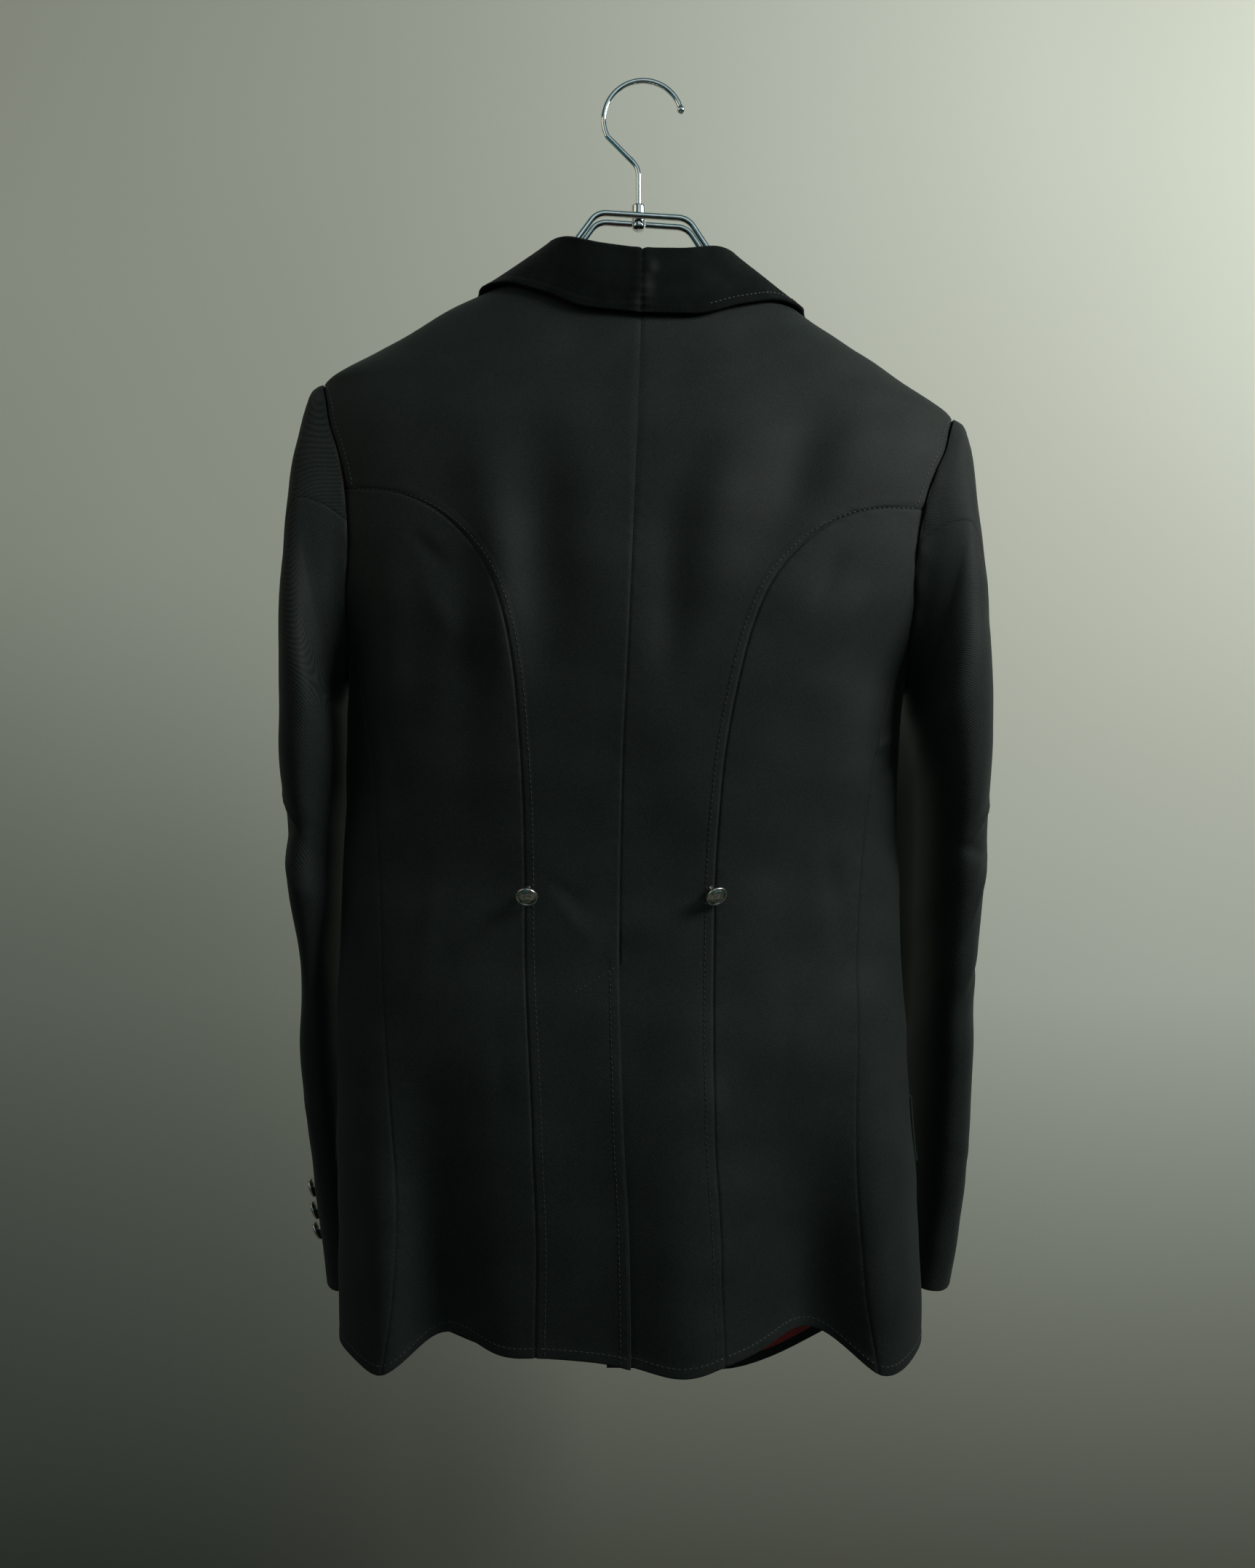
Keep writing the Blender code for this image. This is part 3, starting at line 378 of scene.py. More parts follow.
# Millimetres: the twill's pitch, drawn coarser than it is so that it shows, and the lint's spacing and size
wool = {
    "dark": "#030b0b", "light": "#1f2423", "lint": "#4c4d4a", "twillPitch": 1.5, "lintCell": 5.2,
    "lintRadius": 0.3, "lintShare": 0.1, "fibreScale": 900.0,
}


def makeWool():
    # black wool twill, woven and pressed: fine diagonal lines, worn mottling and stray pale lint
    def twill(tree):
        place = addNode(tree, "UVMap", "UV", {}, uv_map="grain")
        parts = addNode(tree, "SeparateXYZ", None, {"Vector": place})
        diagonal = addNode(tree, "Math", 0, {0: parts.outputs[0], 1: parts.outputs[1]}, operation="SUBTRACT")
        phase = 2 * math.pi * 1000 / (wool["twillPitch"] * math.sqrt(2))
        turned = addNode(tree, "Math", 0, {0: diagonal, 1: phase}, operation="MULTIPLY")
        return addNode(tree, "Math", 0, {0: turned}, operation="SINE")

    def fibres(tree, scale, detail):
        place = addNode(tree, "TexCoord", "Object", {})
        return addNode(tree, "TexNoise", "Fac", {"Vector": place, "Scale": scale, "Detail": detail})

    def colour(tree):
        mix = addNode(tree, "Math", 0, {0: twill(tree), 1: 0.24, 2: -0.3}, operation="MULTIPLY_ADD")
        for scale, detail, weight in ((wool["fibreScale"], 3.0, 1.1), (26.0, 5.0, 0.5)):
            inputs = {0: fibres(tree, scale, detail), 1: weight, 2: mix}
            mix = addNode(tree, "Math", 0, inputs, operation="MULTIPLY_ADD")
        tones = ((0.1, wool["dark"]), (0.9, wool["light"]))
        cloth = addNode(tree, "ValToRGB", "Color", {"Fac": mix}, stops=tones)
        place = addNode(tree, "TexCoord", "Object", {})
        cells = addNode(tree, "TexVoronoi", None, {"Vector": place, "Scale": 1000 / wool["lintCell"]})
        seed = addNode(tree, "SeparateColor", "Red", {"Color": cells.outputs["Color"]})
        close = wool["lintRadius"] / wool["lintCell"]
        near = addNode(tree, "Math", 0, {0: cells.outputs["Distance"], 1: close}, operation="LESS_THAN")
        chosen = addNode(tree, "Math", 0, {0: seed, 1: 1 - wool["lintShare"]}, operation="GREATER_THAN")
        lint = addNode(tree, "Math", 0, {0: near, 1: chosen}, operation="MULTIPLY")
        lint = addNode(tree, "Math", 0, {0: lint, 1: 0.5}, operation="MULTIPLY")
        inputs = {0: lint, 6: cloth, 7: toLinear(wool["lint"])}
        return addNode(tree, "Mix", 2, inputs, data_type="RGBA")

    def normal(tree):
        inputs = {0: twill(tree), 1: 0.5, 2: fibres(tree, wool["fibreScale"], 3.0)}
        height = addNode(tree, "Math", 0, inputs, operation="MULTIPLY_ADD")
        return addNode(tree, "Bump", "Normal", {"Height": height, "Strength": 0.25, "Distance": 0.0003})

    return startMaterial(
        "black wool twill", colour, normal, Roughness=0.72, Specular_IOR_Level=0.22,
        Sheen_Weight=0.07, Sheen_Roughness=0.4, Sheen_Tint=toLinear("#a9b6b2"),
    )[0]


# Rubbed spots: across, up and reach
velvet = {
    "dark": "#040807", "light": "#101615", "worn": "#2b2c2a",
    "spots": ((3, -160, 6), (-5, -171, 5), (7, -146, 4)), "spotDepth": -0.045,
}


def makeVelvet():
    # cotton velvet, its short nap brushed in patches, with pale rubbed spots beside the centre seam
    def brushed(tree):
        place = addNode(tree, "TexCoord", "Object", {})
        inputs = {"Vector": place, "Scale": 60.0, "Detail": 6.0, "Roughness": 0.62}
        return addNode(tree, "TexNoise", "Fac", inputs)

    def nap(tree):
        place = addNode(tree, "TexCoord", "Object", {})
        return addNode(tree, "TexNoise", "Fac", {"Vector": place, "Scale": 1400.0, "Detail": 2.0})

    def colour(tree):
        patches = brushed(tree)
        mix = addNode(tree, "Math", 0, {0: patches, 1: 1.3, 2: -0.4}, operation="MULTIPLY_ADD")
        mix = addNode(tree, "Math", 0, {0: nap(tree), 1: 0.5, 2: mix}, operation="MULTIPLY_ADD")
        tones = ((0.25, velvet["dark"]), (0.85, velvet["light"]))
        cloth = addNode(tree, "ValToRGB", "Color", {"Fac": mix}, stops=tones)
        place = addNode(tree, "TexCoord", "Object", {})
        total = None
        for x, z, reach in velvet["spots"]:
            inputs = {0: place, 1: (x * mm, velvet["spotDepth"], z * mm)}
            away = addNode(tree, "VectorMath", 0, inputs, operation="SUBTRACT")
            flat = addNode(tree, "VectorMath", 0, {0: away, 1: (1, 0, 0.6)}, operation="MULTIPLY")
            length = addNode(tree, "VectorMath", "Value", {0: flat}, operation="LENGTH")
            inputs = {"Value": length, "From Max": reach * mm, "To Min": 1.0, "To Max": 0.0}
            spot = addNode(tree, "MapRange", "Result", inputs)
            if total is None:
                total = spot
            else:
                total = addNode(tree, "Math", 0, {0: total, 1: spot}, operation="MAXIMUM")
        worn = addNode(tree, "Math", 0, {0: total, 1: patches}, operation="MULTIPLY")
        inputs = {0: worn, 6: cloth, 7: toLinear(velvet["worn"])}
        return addNode(tree, "Mix", 2, inputs, data_type="RGBA")

    def normal(tree):
        height = addNode(tree, "Math", 0, {0: brushed(tree), 1: 0.8, 2: nap(tree)}, operation="MULTIPLY_ADD")
        return addNode(tree, "Bump", "Normal", {"Height": height, "Strength": 0.6, "Distance": 0.0006})

    return startMaterial(
        "cotton velvet", colour, normal, Roughness=0.93, Specular_IOR_Level=0.1,
        Sheen_Weight=0.16, Sheen_Roughness=0.3, Sheen_Tint=toLinear("#9fa3a0"),
    )[0]


def makeLining():
    # red acetate satin, woven smooth: crosswise slubs and a soft gloss
    def slub(tree):
        place = addNode(tree, "UVMap", "UV", {}, uv_map="grain")
        drawn = addNode(tree, "VectorMath", 0, {0: place, 1: (180, 1900, 1)}, operation="MULTIPLY")
        return addNode(tree, "TexNoise", "Fac", {"Vector": drawn, "Scale": 1.0, "Detail": 3.0})

    tones = ((0.3, "#8a1a20"), (0.7, "#b0262b"))
    return startPatterned("red acetate satin", slub, tones, 0.2, 0.0002, Roughness=0.4, Anisotropic=0.3)[0]


def makeMetal(name, dark, light, roughness, wearScale):
    # plated metal: fine mottling of its tone and gloss, as handling leaves it
    def wear(tree):
        place = addNode(tree, "TexCoord", "Object", {})
        return addNode(tree, "TexNoise", "Fac", {"Vector": place, "Scale": wearScale, "Detail": 6.0})

    tones = ((0.35, dark), (0.65, light))
    material, tree, shader = startPatterned(name, wear, tones, 0.08, 0.0001, Metallic=1.0)
    low, high = roughness
    gloss = addNode(tree, "MapRange", "Result", {"Value": wear(tree), "To Min": low, "To Max": high})
    tree.links.new(gloss, shader.inputs["Roughness"])
    return material


def makeThread():
    # twisted black polyester thread, a little glossier than the cloth round it
    def twist(tree):
        place = addNode(tree, "TexCoord", "Object", {})
        return addNode(tree, "TexNoise", "Fac", {"Vector": place, "Scale": 2600.0, "Detail": 2.0})

    tones = ((0.3, "#101312"), (0.7, "#202322"))
    name = "black polyester thread"
    return startPatterned(name, twist, tones, 0.3, 0.0001, Roughness=0.45, Sheen_Weight=0.2)[0]


woolCloth = makeWool()
velvetCloth = makeVelvet()
liningCloth = makeLining()
threadBlack = makeThread()
silverMetal = makeMetal("nickel silver", "#9b9a94", "#d0cec7", (0.16, 0.38), 420.0)
chromeMetal = makeMetal("polished chrome plate", "#d5d8da", "#eceeef", (0.03, 0.1), 300.0)
print("materials made")


# Objects and their meshes
def meshFrom(bm, name):
    mesh = bpy.data.meshes.new(name)
    bm.to_mesh(mesh)
    bm.free()
    return mesh


def linkObject(name, data):
    made = bpy.data.objects.new(name, data)
    bpy.context.scene.collection.objects.link(made)
    return made


def addObject(name, slot, shape, nodes, *materials):
    # a piece of the jacket or hanger: it rides on the body and stands for its nodes
    for material in materials:
        shape.materials.append(material)
    made = linkObject(name, shape)
    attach(made, "root")
    if nodes:
        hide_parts(*nodes)


# Cloth: a wall between two grids of points, from a grid that is drawn out and then shaped
def wallObject(node, slot, outer, inner, materials, lined=None, side=1):
    rows, columns = outer.shape[:2]
    bm = bmesh.new()
    bmesh.ops.create_grid(bm, x_segments=columns - 1, y_segments=rows - 1, size=0.5)
    lifted = bmesh.ops.extrude_face_region(bm, geom=bm.faces[:])
    inside = [item for item in lifted["geom"] if isinstance(item, bmesh.types.BMVert)]
    bmesh.ops.translate(bm, verts=inside, vec=(0, 0, -1))
    bmesh.ops.recalc_face_normals(bm, faces=bm.faces[:])
    mesh = meshFrom(bm, node + "_cloth")
    addObject(node + "_cloth", slot, mesh, (node,), *materials)
    flat = np.empty(len(mesh.vertices) * 3)
    mesh.vertices.foreach_get("co", flat)
    flat = flat.reshape(-1, 3)
    column = np.rint((flat[:, 0] + 0.5) * (columns - 1)).astype(int)
    row = np.rint((flat[:, 1] + 0.5) * (rows - 1)).astype(int)
    isInner = flat[:, 2] < -0.5
    points = np.where(isInner[:, None], inner[row, column], outer[row, column])
    mesh.vertices.foreach_set("co", (points * mm).ravel())
    corners = np.empty(len(mesh.loops), np.int32)
    mesh.loops.foreach_get("vertex_index", corners)
    quads = corners.reshape(-1, 4)
    # the grain: level distance along the row from the middle, and height, in metres
    steps = np.linalg.norm(np.diff(outer[..., :2], axis=1), axis=2)
    first = np.abs(outer[:, :1, 0])
    along = np.concatenate([first, np.cumsum(steps, axis=1) + first], axis=1)
    grain = np.stack([side * along[row, column], outer[row, column, 2]], axis=1) * mm
    layer = mesh.uv_layers.new(name="grain")
    layer.data.foreach_set("uv", grain[corners].ravel())
    if lined is not None:
        turned = isInner[quads].all(axis=1) & lined[row[quads[:, 0]], column[quads[:, 0]]]
        mesh.polygons.foreach_set("material_index", turned.astype(np.int32))
    mesh.update()
    middle = int(np.argmax(~isInner[quads].any(axis=1) & (row[quads].min(axis=1) == rows // 2)))
    r, c = row[quads[middle, 0]], column[quads[middle, 0]]
    if np.dot(np.array(mesh.polygons[middle].normal), outer[r, c] - inner[r, c]) < 0:
        mesh.flip_normals()
    mesh.shade_smooth()
    mesh.set_sharp_from_angle(angle=math.radians(65))


def distanceTo(points, line):
    # shortest distance from each point of a grid to a line of points
    start, step = line[:-1], np.diff(line, axis=0)
    length = np.maximum((step**2).sum(axis=1), 1e-9)
    flat = points.reshape(-1, 3)
    nearest = np.empty(len(flat))
    for first in range(0, len(flat), 3000):
        part = flat[first : first + 3000, None, :] - start[None]
        t = np.clip((part * step).sum(axis=2) / length, 0, 1)
        nearest[first : first + 3000] = np.sqrt(((part - t[..., None] * step) ** 2).sum(axis=2).min(axis=1))
    return nearest.reshape(points.shape[:2])


def crowdedStops(count, edges=0.8):
    t = np.linspace(0, 1, count + 1)
    return t - edges / (2 * math.pi) * np.sin(2 * math.pi * t)


def rowStops(count, rows):
    # finest at the hem's own edge, fine over its turning, then even
    hem = (0, 0.012, 0.035, 0.065, 0.1, 0.14)
    return np.concatenate([hem, np.linspace(0.19, 1, 14)[:-1], np.linspace(1, rows, count)]) / rows


def edgeRound(away, wall):
    return 0.25 + 0.75 * np.sqrt(1 - (1 - np.clip(away / (wall / 2), 0, 1)) ** 2)


# Waves over a metre across, deep and up, where each starts and its height
clothWaves = (
    (9, 3, 4, 0.4, 0.4), (-5, 6, 11, 1.9, 0.35), (17, -4, 6, 2.7, 0.2), (4, 9, 21, 0.9, 0.18),
    (26, 5, -13, 4.1, 0.1), (-19, 11, 28, 5.2, 0.09),
)


def softSum(points):
    # gentle unevenness of cloth: a few long waves that don't repeat together
    total = np.zeros(points.shape[:2])
    for kx, ky, kz, phase, height in clothWaves:
        total += height * np.sin((points @ np.array((kx, ky, kz), float)) * 2 * math.pi / 1000 + phase)
    return total


# Small creases behind: both ends across and up, half breadth and rise
smallCreases = {
    "startX": (-150, -146, 130, 142, 52, 44, -66, -58, 150, 158, -20, -12, 30, -132, 118, -176, 172, 96, -96),
    "startZ": (-318, -345, -330, -352, -540, -556, -540, -556, -462, -478, -520, -560, -640, -520, -500, -420,
               -430, -600, -620),
    "endX": (-120, -112, 104, 110, 22, 14, -34, -28, 170, 176, -44, -40, 52, -148, 132, -168, 160, 84, -84),
    "endZ": (-352, -400, -372, -408, -560, -590, -562, -588, -446, -452, -560, -612, -720, -640, -610, -520,
             -540, -700, -720),
    "reach": (6, 8, 6, 8, 5, 6, 5, 6, 4, 5, 8, 7, 10, 9, 9, 7, 7, 9, 9),
    "rise": (-1.2, 0.9, -1.1, 0.8, -1.0, 0.7, -0.8, 0.6, 1.5, -1.3, 0.5, -0.5, 0.7, 0.9, -0.8, 0.8, 0.8,
             -0.7, -0.7),
}


def creaseRise(points):
    total = np.zeros(points.shape[:2])
    for i, rise in enumerate(smallCreases["rise"]):
        start = np.array((smallCreases["startX"][i], smallCreases["startZ"][i]), float)
        step = np.array((smallCreases["endX"][i], smallCreases["endZ"][i]), float) - start
        away = points[..., [0, 2]] - start
        t = np.clip((away @ step) / (step @ step), 0, 1)
        aside = (away @ np.array((-step[1], step[0]))) / np.linalg.norm(step)
        reach = smallCreases["reach"][i] * (0.55 + 0.6 * t)
        total += rise * np.exp(-((aside / reach) ** 2)) * np.sin(math.pi * t) ** 1.3
    return total


# Stitches, gathered line by line and sewn in one mesh for each group
stitch = {"length": 2.5, "pitch": 3.5, "radius": 0.26, "inset": 6.5, "rise": 0.08}
stitchGroups = {}


def surfaceOf(outer, like):
    # the outer face as points to find by place, with its own normals
    normals = unit(np.cross(np.gradient(outer, axis=1), np.gradient(outer, axis=0)))
    normals = normals * np.where((normals * like).sum(axis=2, keepdims=True) < 0, -1, 1)
    points = outer.reshape(-1, 3)
    tree = KDTree(len(points))
    for i, point in enumerate(points):
        tree.insert(point, i)
    tree.balance()
    return tree, points, normals.reshape(-1, 3)


def stitchLine(group, line, surface):
    # stitches at an even pitch along a line, each laid on the cloth under it
    tree, points, normals = surface
    lengths = np.concatenate([[0], np.cumsum(np.linalg.norm(np.diff(line, axis=0), axis=1))])
    for spot in np.arange(stitch["pitch"], lengths[-1] - stitch["pitch"] / 2, stitch["pitch"]):
        centre, ahead = (
            np.array([np.interp(at, lengths, line[:, k]) for k in range(3)]) for at in (spot, spot + 0.8)
        )
        index = tree.find(centre)[1]
        normal = normals[index]
        centre = centre - normal * ((centre - points[index]) @ normal)
        along = ahead - centre
        along = unit(along - normal * (along @ normal))
        stitchGroups.setdefault(group, []).append((centre + normal * stitch["rise"], along, normal))


def sewStitches():
    half = Vector((stitch["length"] / 2, stitch["radius"], stitch["radius"])) * mm
    for group, places in stitchGroups.items():
        bm = bmesh.new()
        for centre, along, normal in places:
            turned = Matrix(np.stack([along, np.cross(normal, along), normal], axis=1).tolist())
            matrix = Matrix.LocRotScale(Vector(centre) * mm, turned, half)
            bmesh.ops.create_uvsphere(bm, u_segments=6, v_segments=5, radius=1, matrix=matrix)
        bmesh.ops.recalc_face_normals(bm, faces=bm.faces[:])
        mesh = meshFrom(bm, group)
        mesh.shade_smooth()
        addObject(group, "wool", mesh, (), threadBlack)


def edgesOf(points):
    # the four edges as lines, with the way in from each
    return {
        "start": (points[:, 0], points[:, 3] - points[:, 0]),
        "end": (points[:, -1], points[:, -4] - points[:, -1]),
        "hem": (points[0], points[8] - points[0]),
        "top": (points[-1], points[-4] - points[-1]),
    }


# What seams and stitching do to the cloth beside them: rise or fall, and how far in they reach
seamLook = {
    "roll": 0.6, "rollReach": 1.0, "pad": 0.14, "padFall": 1.6, "trough": 0.16, "troughReach": 0.8,
    "pucker": 0.12, "puckerReach": 5, "puckerPitch": 0.52, "ends": 0.01, "creasesBehind": -20,
}


def dressGrid(node, base, normals, v, edges, open, side, waves=1.0, lined=None):
    # the relief of the seams, stitching and creases over a grid of points
    wall = cloth["wall"]
    relief = softSum(base) * waves + creaseRise(base) * (base[..., 1] < seamLook["creasesBehind"])
    lines = edgesOf(base)
    along = base[..., 2] * 0.9 + base[..., 0] * 0.35
    shape = np.ones(base.shape[:2])
    at = np.broadcast_to(v[:, None], base.shape[:2])
    for key, look in edges.items():
        away = distanceTo(base, lines[key][0])
        if key in open:
            shape = np.minimum(shape, edgeRound(away, wall))
        else:
            roll = seamLook["roll"] * look.get("deep", 1)
            relief -= roll * np.exp(-((away / seamLook["rollReach"]) ** 2))
        ripple = np.sin(along * seamLook["puckerPitch"] + 2 * np.sin(along * 0.11))
        ripple = ripple * np.exp(-((away / seamLook["puckerReach"]) ** 2))
        relief += seamLook["pucker"] * look.get("pucker", 1) * ripple * stepUp(away / 2)
        if look.get("stitch"):
            inRange = 1
            if key in ("start", "end"):
                first, last = look.get("share", (0, 1))
                ends = seamLook["ends"]
                inRange = stepUp((at - first) / ends + 1) * stepUp((last - at) / ends + 1)
            beyond = away - look["stitch"]
            pad = look.get("pad", seamLook["pad"])
            relief += pad * (1 - stepUp((beyond + 0.6) / seamLook["padFall"])) * inRange
            relief -= seamLook["trough"] * np.exp(-((beyond / seamLook["troughReach"]) ** 2)) * inRange
    middle = base - normals * (wall / 2)
    outer = middle + normals * (wall / 2 * shape + relief)[..., None]
    inner = middle - normals * (wall / 2 * shape - relief * 0.5)[..., None]
    materials = (woolCloth,) if lined is None else (woolCloth, liningCloth)
    wallObject(node, "wool", outer, inner, materials, lined, side)
    surface = surfaceOf(outer, normals)
    for key, look in edges.items():
        if look.get("stitch"):
            line, inward = edgesOf(outer)[key]
            if key in ("start", "end"):
                first, last = look.get("share", (0, 1))
                kept = (v >= first) & (v <= last)
                line, inward = line[kept], inward[kept]
            stitchLine(node + "_stitches", line + unit(inward) * look["stitch"], surface)
    return surface


def dressPanel(node, place, side, columns, rows, edges, depth=None, open=("hem",)):
    # a body panel: its place on the hung body, pushed in by depth, and lined clear of its edges
    v = rowStops(panelGrid["sideRows" if rows == seams["rows"] else "rows"], rows)
    u, v2 = np.meshgrid(crowdedStops(columns), v)
    turn, height = place(u, v2)
    normals = bodyNormal(side * turn, height)
    base = bodyPoint(side * turn, height)
    if depth is not None:
        base = base - normals * depth(turn, height)[..., None]
    seamAway = np.minimum(distanceTo(base, base[:, 0]), distanceTo(base, base[:, -1]))
    seamAway = np.minimum(seamAway, distanceTo(base, base[-1]))
    lined = (distanceTo(base, base[0]) > panelGrid["hemTurning"]) & (seamAway > panelGrid["seamTurning"])
    return dressGrid(node, base, normals, v, edges, open, side, lined=lined)


# Columns and rows of the panels' grids, and the wool turned in at the hem and seams
panelGrid = {
    "back": 64, "sideBack": 56, "front": 60, "rows": 220, "sideRows": 180, "hemTurning": 26, "seamTurning": 9,
}
ventSlope = {"start": (-17, -597), "end": (-48, -616)}


def dressBody():
    inset = stitch["inset"]
    armhole = (seams["rows"] + seams["armholeBack"]) / backRowCount
    hem = {"stitch": inset, "pad": 0.3, "pucker": 0.5}
    surfaces = {}
    for side, label in ((-1, "left"), (1, "right")):
        underlap = seams["underlap"] if side > 0 else 0
        centre = {"deep": 0.8, "pucker": 1.3}
        if side < 0:
            centre.update({"stitch": inset, "share": (0, 8 / backRowCount), "pad": 0.2})
        princess = {"stitch": inset, "share": (0, armhole), "deep": 1.2, "pucker": 1.4}
        surfaces["back_" + label] = dressPanel(
            "back_" + label, lambda u, v, lap=underlap: backPlace(u, v, lap), side, panelGrid["back"],
            backRowCount, {"start": centre, "end": princess, "hem": hem, "top": {"deep": 0.5}},
            depth=tuckIn if side > 0 else None,
        )
        dressPanel(
            "side_back_" + label, sideBackPlace, side, panelGrid["sideBack"], seams["rows"],
            {"start": {"deep": 1.3}, "end": {"deep": 0.8}, "hem": hem, "top": {"deep": 0.7}},
        )
        closing = {"stitch": inset, "share": (0, 0.49), "deep": 0.8, "pucker": 0.4}
        dressPanel(
            "front_" + label, lambda u, v, side=side: frontPlace(u, v, side), side, panelGrid["front"],
            frontRowCount, {"start": {"deep": 0.9}, "end": closing, "hem": hem, "top": {"deep": 0.5}},
            depth=(lambda turn, height: -lapOut(turn, height)) if side > 0 else None, open=("hem", "end"),
        )
    slope = [np.array((ventSlope[end][0], -66, ventSlope[end][1]), float) for end in ("start", "end")]
    stitchLine("back_left_stitches", np.linspace(slope[0], slope[1], 12), surfaces["back_left"])
    print("body panels dressed")


# Lining inside the lower fronts
lining = {"rows": (0.35, 9), "columns": (0.045, 0.885), "grid": (40, 90), "pleat": 0.5, "gap": 0.4}


def dressLinings():
    low, high = (row / frontRowCount for row in lining["rows"])
    across = np.linspace(*lining["columns"], lining["grid"][0])
    u, v = np.meshgrid(across, np.linspace(low, high, lining["grid"][1]))
    for side, label in ((-1, "left"), (1, "right")):
        turn, height = frontPlace(u, v, side)
        normals = bodyNormal(side * turn, height)
        base = bodyPoint(side * turn, height) - normals * (cloth["wall"] + lining["gap"])
        pleats = lining["pleat"] * (np.sin(turn * 0.9 + height * 0.02) - 1)[..., None]
        outer = base + normals * pleats * 0.3
        inner = base - normals * (cloth["liningWall"] - pleats * 0.3)
        wallObject("lining_front_" + label, "lining", outer, inner, (liningCloth,), side=side)
    print("linings dressed")


# Collar: fold line, base and edge, from the centre back to its front end. Its section runs up the stand,
# round the roll and down the fall, in steps of 3, 4 and 4
collar = {
    "share": (0, 0.2, 0.4, 0.55, 0.7, 0.85, 1),
    "foldX": (0, 27, 50, 60, 62, 63, 66),
    "foldY": (-45, -41, -27, -10, 8, 24, 38),
    "foldZ": (-133, -130, -121.5, -119, -123, -139, -160),
    "baseTurn": (0, 13.5, 28, 48, 90, 125, 146),
    "edgeTurn": (0, 11.6, 30, 58, 88, 126, 147),
    "edgeZ": (-178, -176, -164, -155, -155, -174, -207),
}
collarShape = {
    "lift": 2.6, "roll": 2.6, "crown": 1.6, "base": 2.6, "grid": (150, 14, 14, 34),
    "seamDeep": 0.8, "seamRise": 0.35, "seamRiseAt": 3.5, "seamRipple": 0.35, "seamRippleReach": 7,
    "stitch": 5.8, "stitchStart": 40, "edgeRise": 0.15, "edgeRipple": 0.12,
}
collarAt = columnsOf(collar, "share")


def collarMiddle(along, step):
    along, step = np.clip(along, -1, 1), np.clip(step, 0, 11)
    share, side = np.abs(along), np.where(along < 0, -1, 1)
    line = {name: curve(share) for name, curve in collarAt.items()}
    turn = line["baseTurn"]
    front = seams["sideNeck"] + (turn - 90) / 61 * (fronts["rollTop"][1] - seams["sideNeck"])
    neck = np.where(turn <= 90, neckline(turn), front)
    base = bodyPoint(side * turn, neck + collarShape["base"])
    base = base - bodyNormal(side * turn, neck) * (cloth["wall"] / 2)
    fold = hang(side * line["foldX"], line["foldY"], line["foldZ"])
    edge = bodyPoint(side * line["edgeTurn"], line["edgeZ"])
    lift = collarShape["lift"] + cloth["collarWall"] / 2
    edge = edge + bodyNormal(side * line["edgeTurn"], line["edgeZ"]) * lift
    down, fall = unit(base - fold), unit(edge - fold)
    apex = -unit(down + fall)
    across = fall - down
    across = unit(across - apex * (across * apex).sum(axis=-1, keepdims=True))
    roll = collarShape["roll"]
    standTop = fold - apex * roll - across * roll
    fallTop = fold - apex * roll + across * roll
    step = step[..., None]
    stand = base + (standTop - base) * step / 3
    angle = math.pi * (step - 3) / 4
    turned = fold - apex * roll + (apex * np.sin(angle) - across * np.cos(angle)) * roll
    t = np.clip((step - 7) / 4, 0, 1)
    fallen = fallTop + (edge - fallTop) * t + across * collarShape["crown"] * np.sin(math.pi * t)
    return np.where(step < 3, stand, np.where(step <= 7, turned, fallen))


def dressCollar():
    columns, stand, roll, fall = collarShape["grid"]
    centre = np.linspace(-1, 1, columns + 1)
    centre = centre - 0.5 / math.pi * np.sin(math.pi * centre) * 0.9  # finer beside the centre seam
    fallStops = 7 + 4 * (1 - (1 - np.linspace(0, 1, fall)) ** 1.6)
    step = np.concatenate([np.linspace(0, 3, stand)[:-1], np.linspace(3, 7, roll)[:-1], fallStops])
    along, down = np.meshgrid(centre, step)
    middle = collarMiddle(along, down)
    ahead = collarMiddle(along + 0.01, down) - collarMiddle(along - 0.01, down)
    below = collarMiddle(along, down + 0.05) - collarMiddle(along, down - 0.05)
    normals = -unit(np.cross(ahead, below))
    edgeAway = distanceTo(middle, middle[-1])
    endAway = np.minimum(distanceTo(middle, middle[:, 0]), distanceTo(middle, middle[:, -1]))
    seamAway = np.abs(middle[..., 0] - middle[:, columns // 2, 0][:, None])
    seamAway = np.where(middle[..., 1] < 0, seamAway, 99)
    shape = edgeRound(np.minimum(edgeAway, endAway), cloth["collarWall"])
    relief = softSum(middle) * 0.5
    height = middle[..., 2]
    relief -= collarShape["seamDeep"] * np.exp(-((seamAway / 0.8) ** 2))
    relief += collarShape["seamRise"] * np.exp(-(((seamAway - collarShape["seamRiseAt"]) / 2.5) ** 2))
    ripple = np.sin(height * 1.05 + np.sin(height * 0.3))
    relief += collarShape["seamRipple"] * ripple * np.exp(-((seamAway / collarShape["seamRippleReach"]) ** 2))
    relief += collarShape["edgeRise"] * (1 - stepUp((edgeAway - 5) / seamLook["padFall"]))
    beyond = edgeAway - collarShape["stitch"]
    relief -= collarShape["edgeRise"] * np.exp(-((beyond / seamLook["troughReach"]) ** 2))
    relief += collarShape["edgeRipple"] * np.sin(along * 260) * np.exp(-((edgeAway / 5) ** 2))
    half = cloth["collarWall"] / 2
    outer = middle + normals * (half * shape + relief)[..., None]
    inner = middle - normals * (half * shape - relief * 0.4)[..., None]
    wallObject("collar", "velvet", outer, inner, (velvetCloth,))
    line = outer[-1] + unit(outer[-6] - outer[-1]) * collarShape["stitch"]
    line = line[line[:, 0] > collarShape["stitchStart"]]
    stitchLine("collar_stitches", line, surfaceOf(outer, normals))
    print("collar dressed")


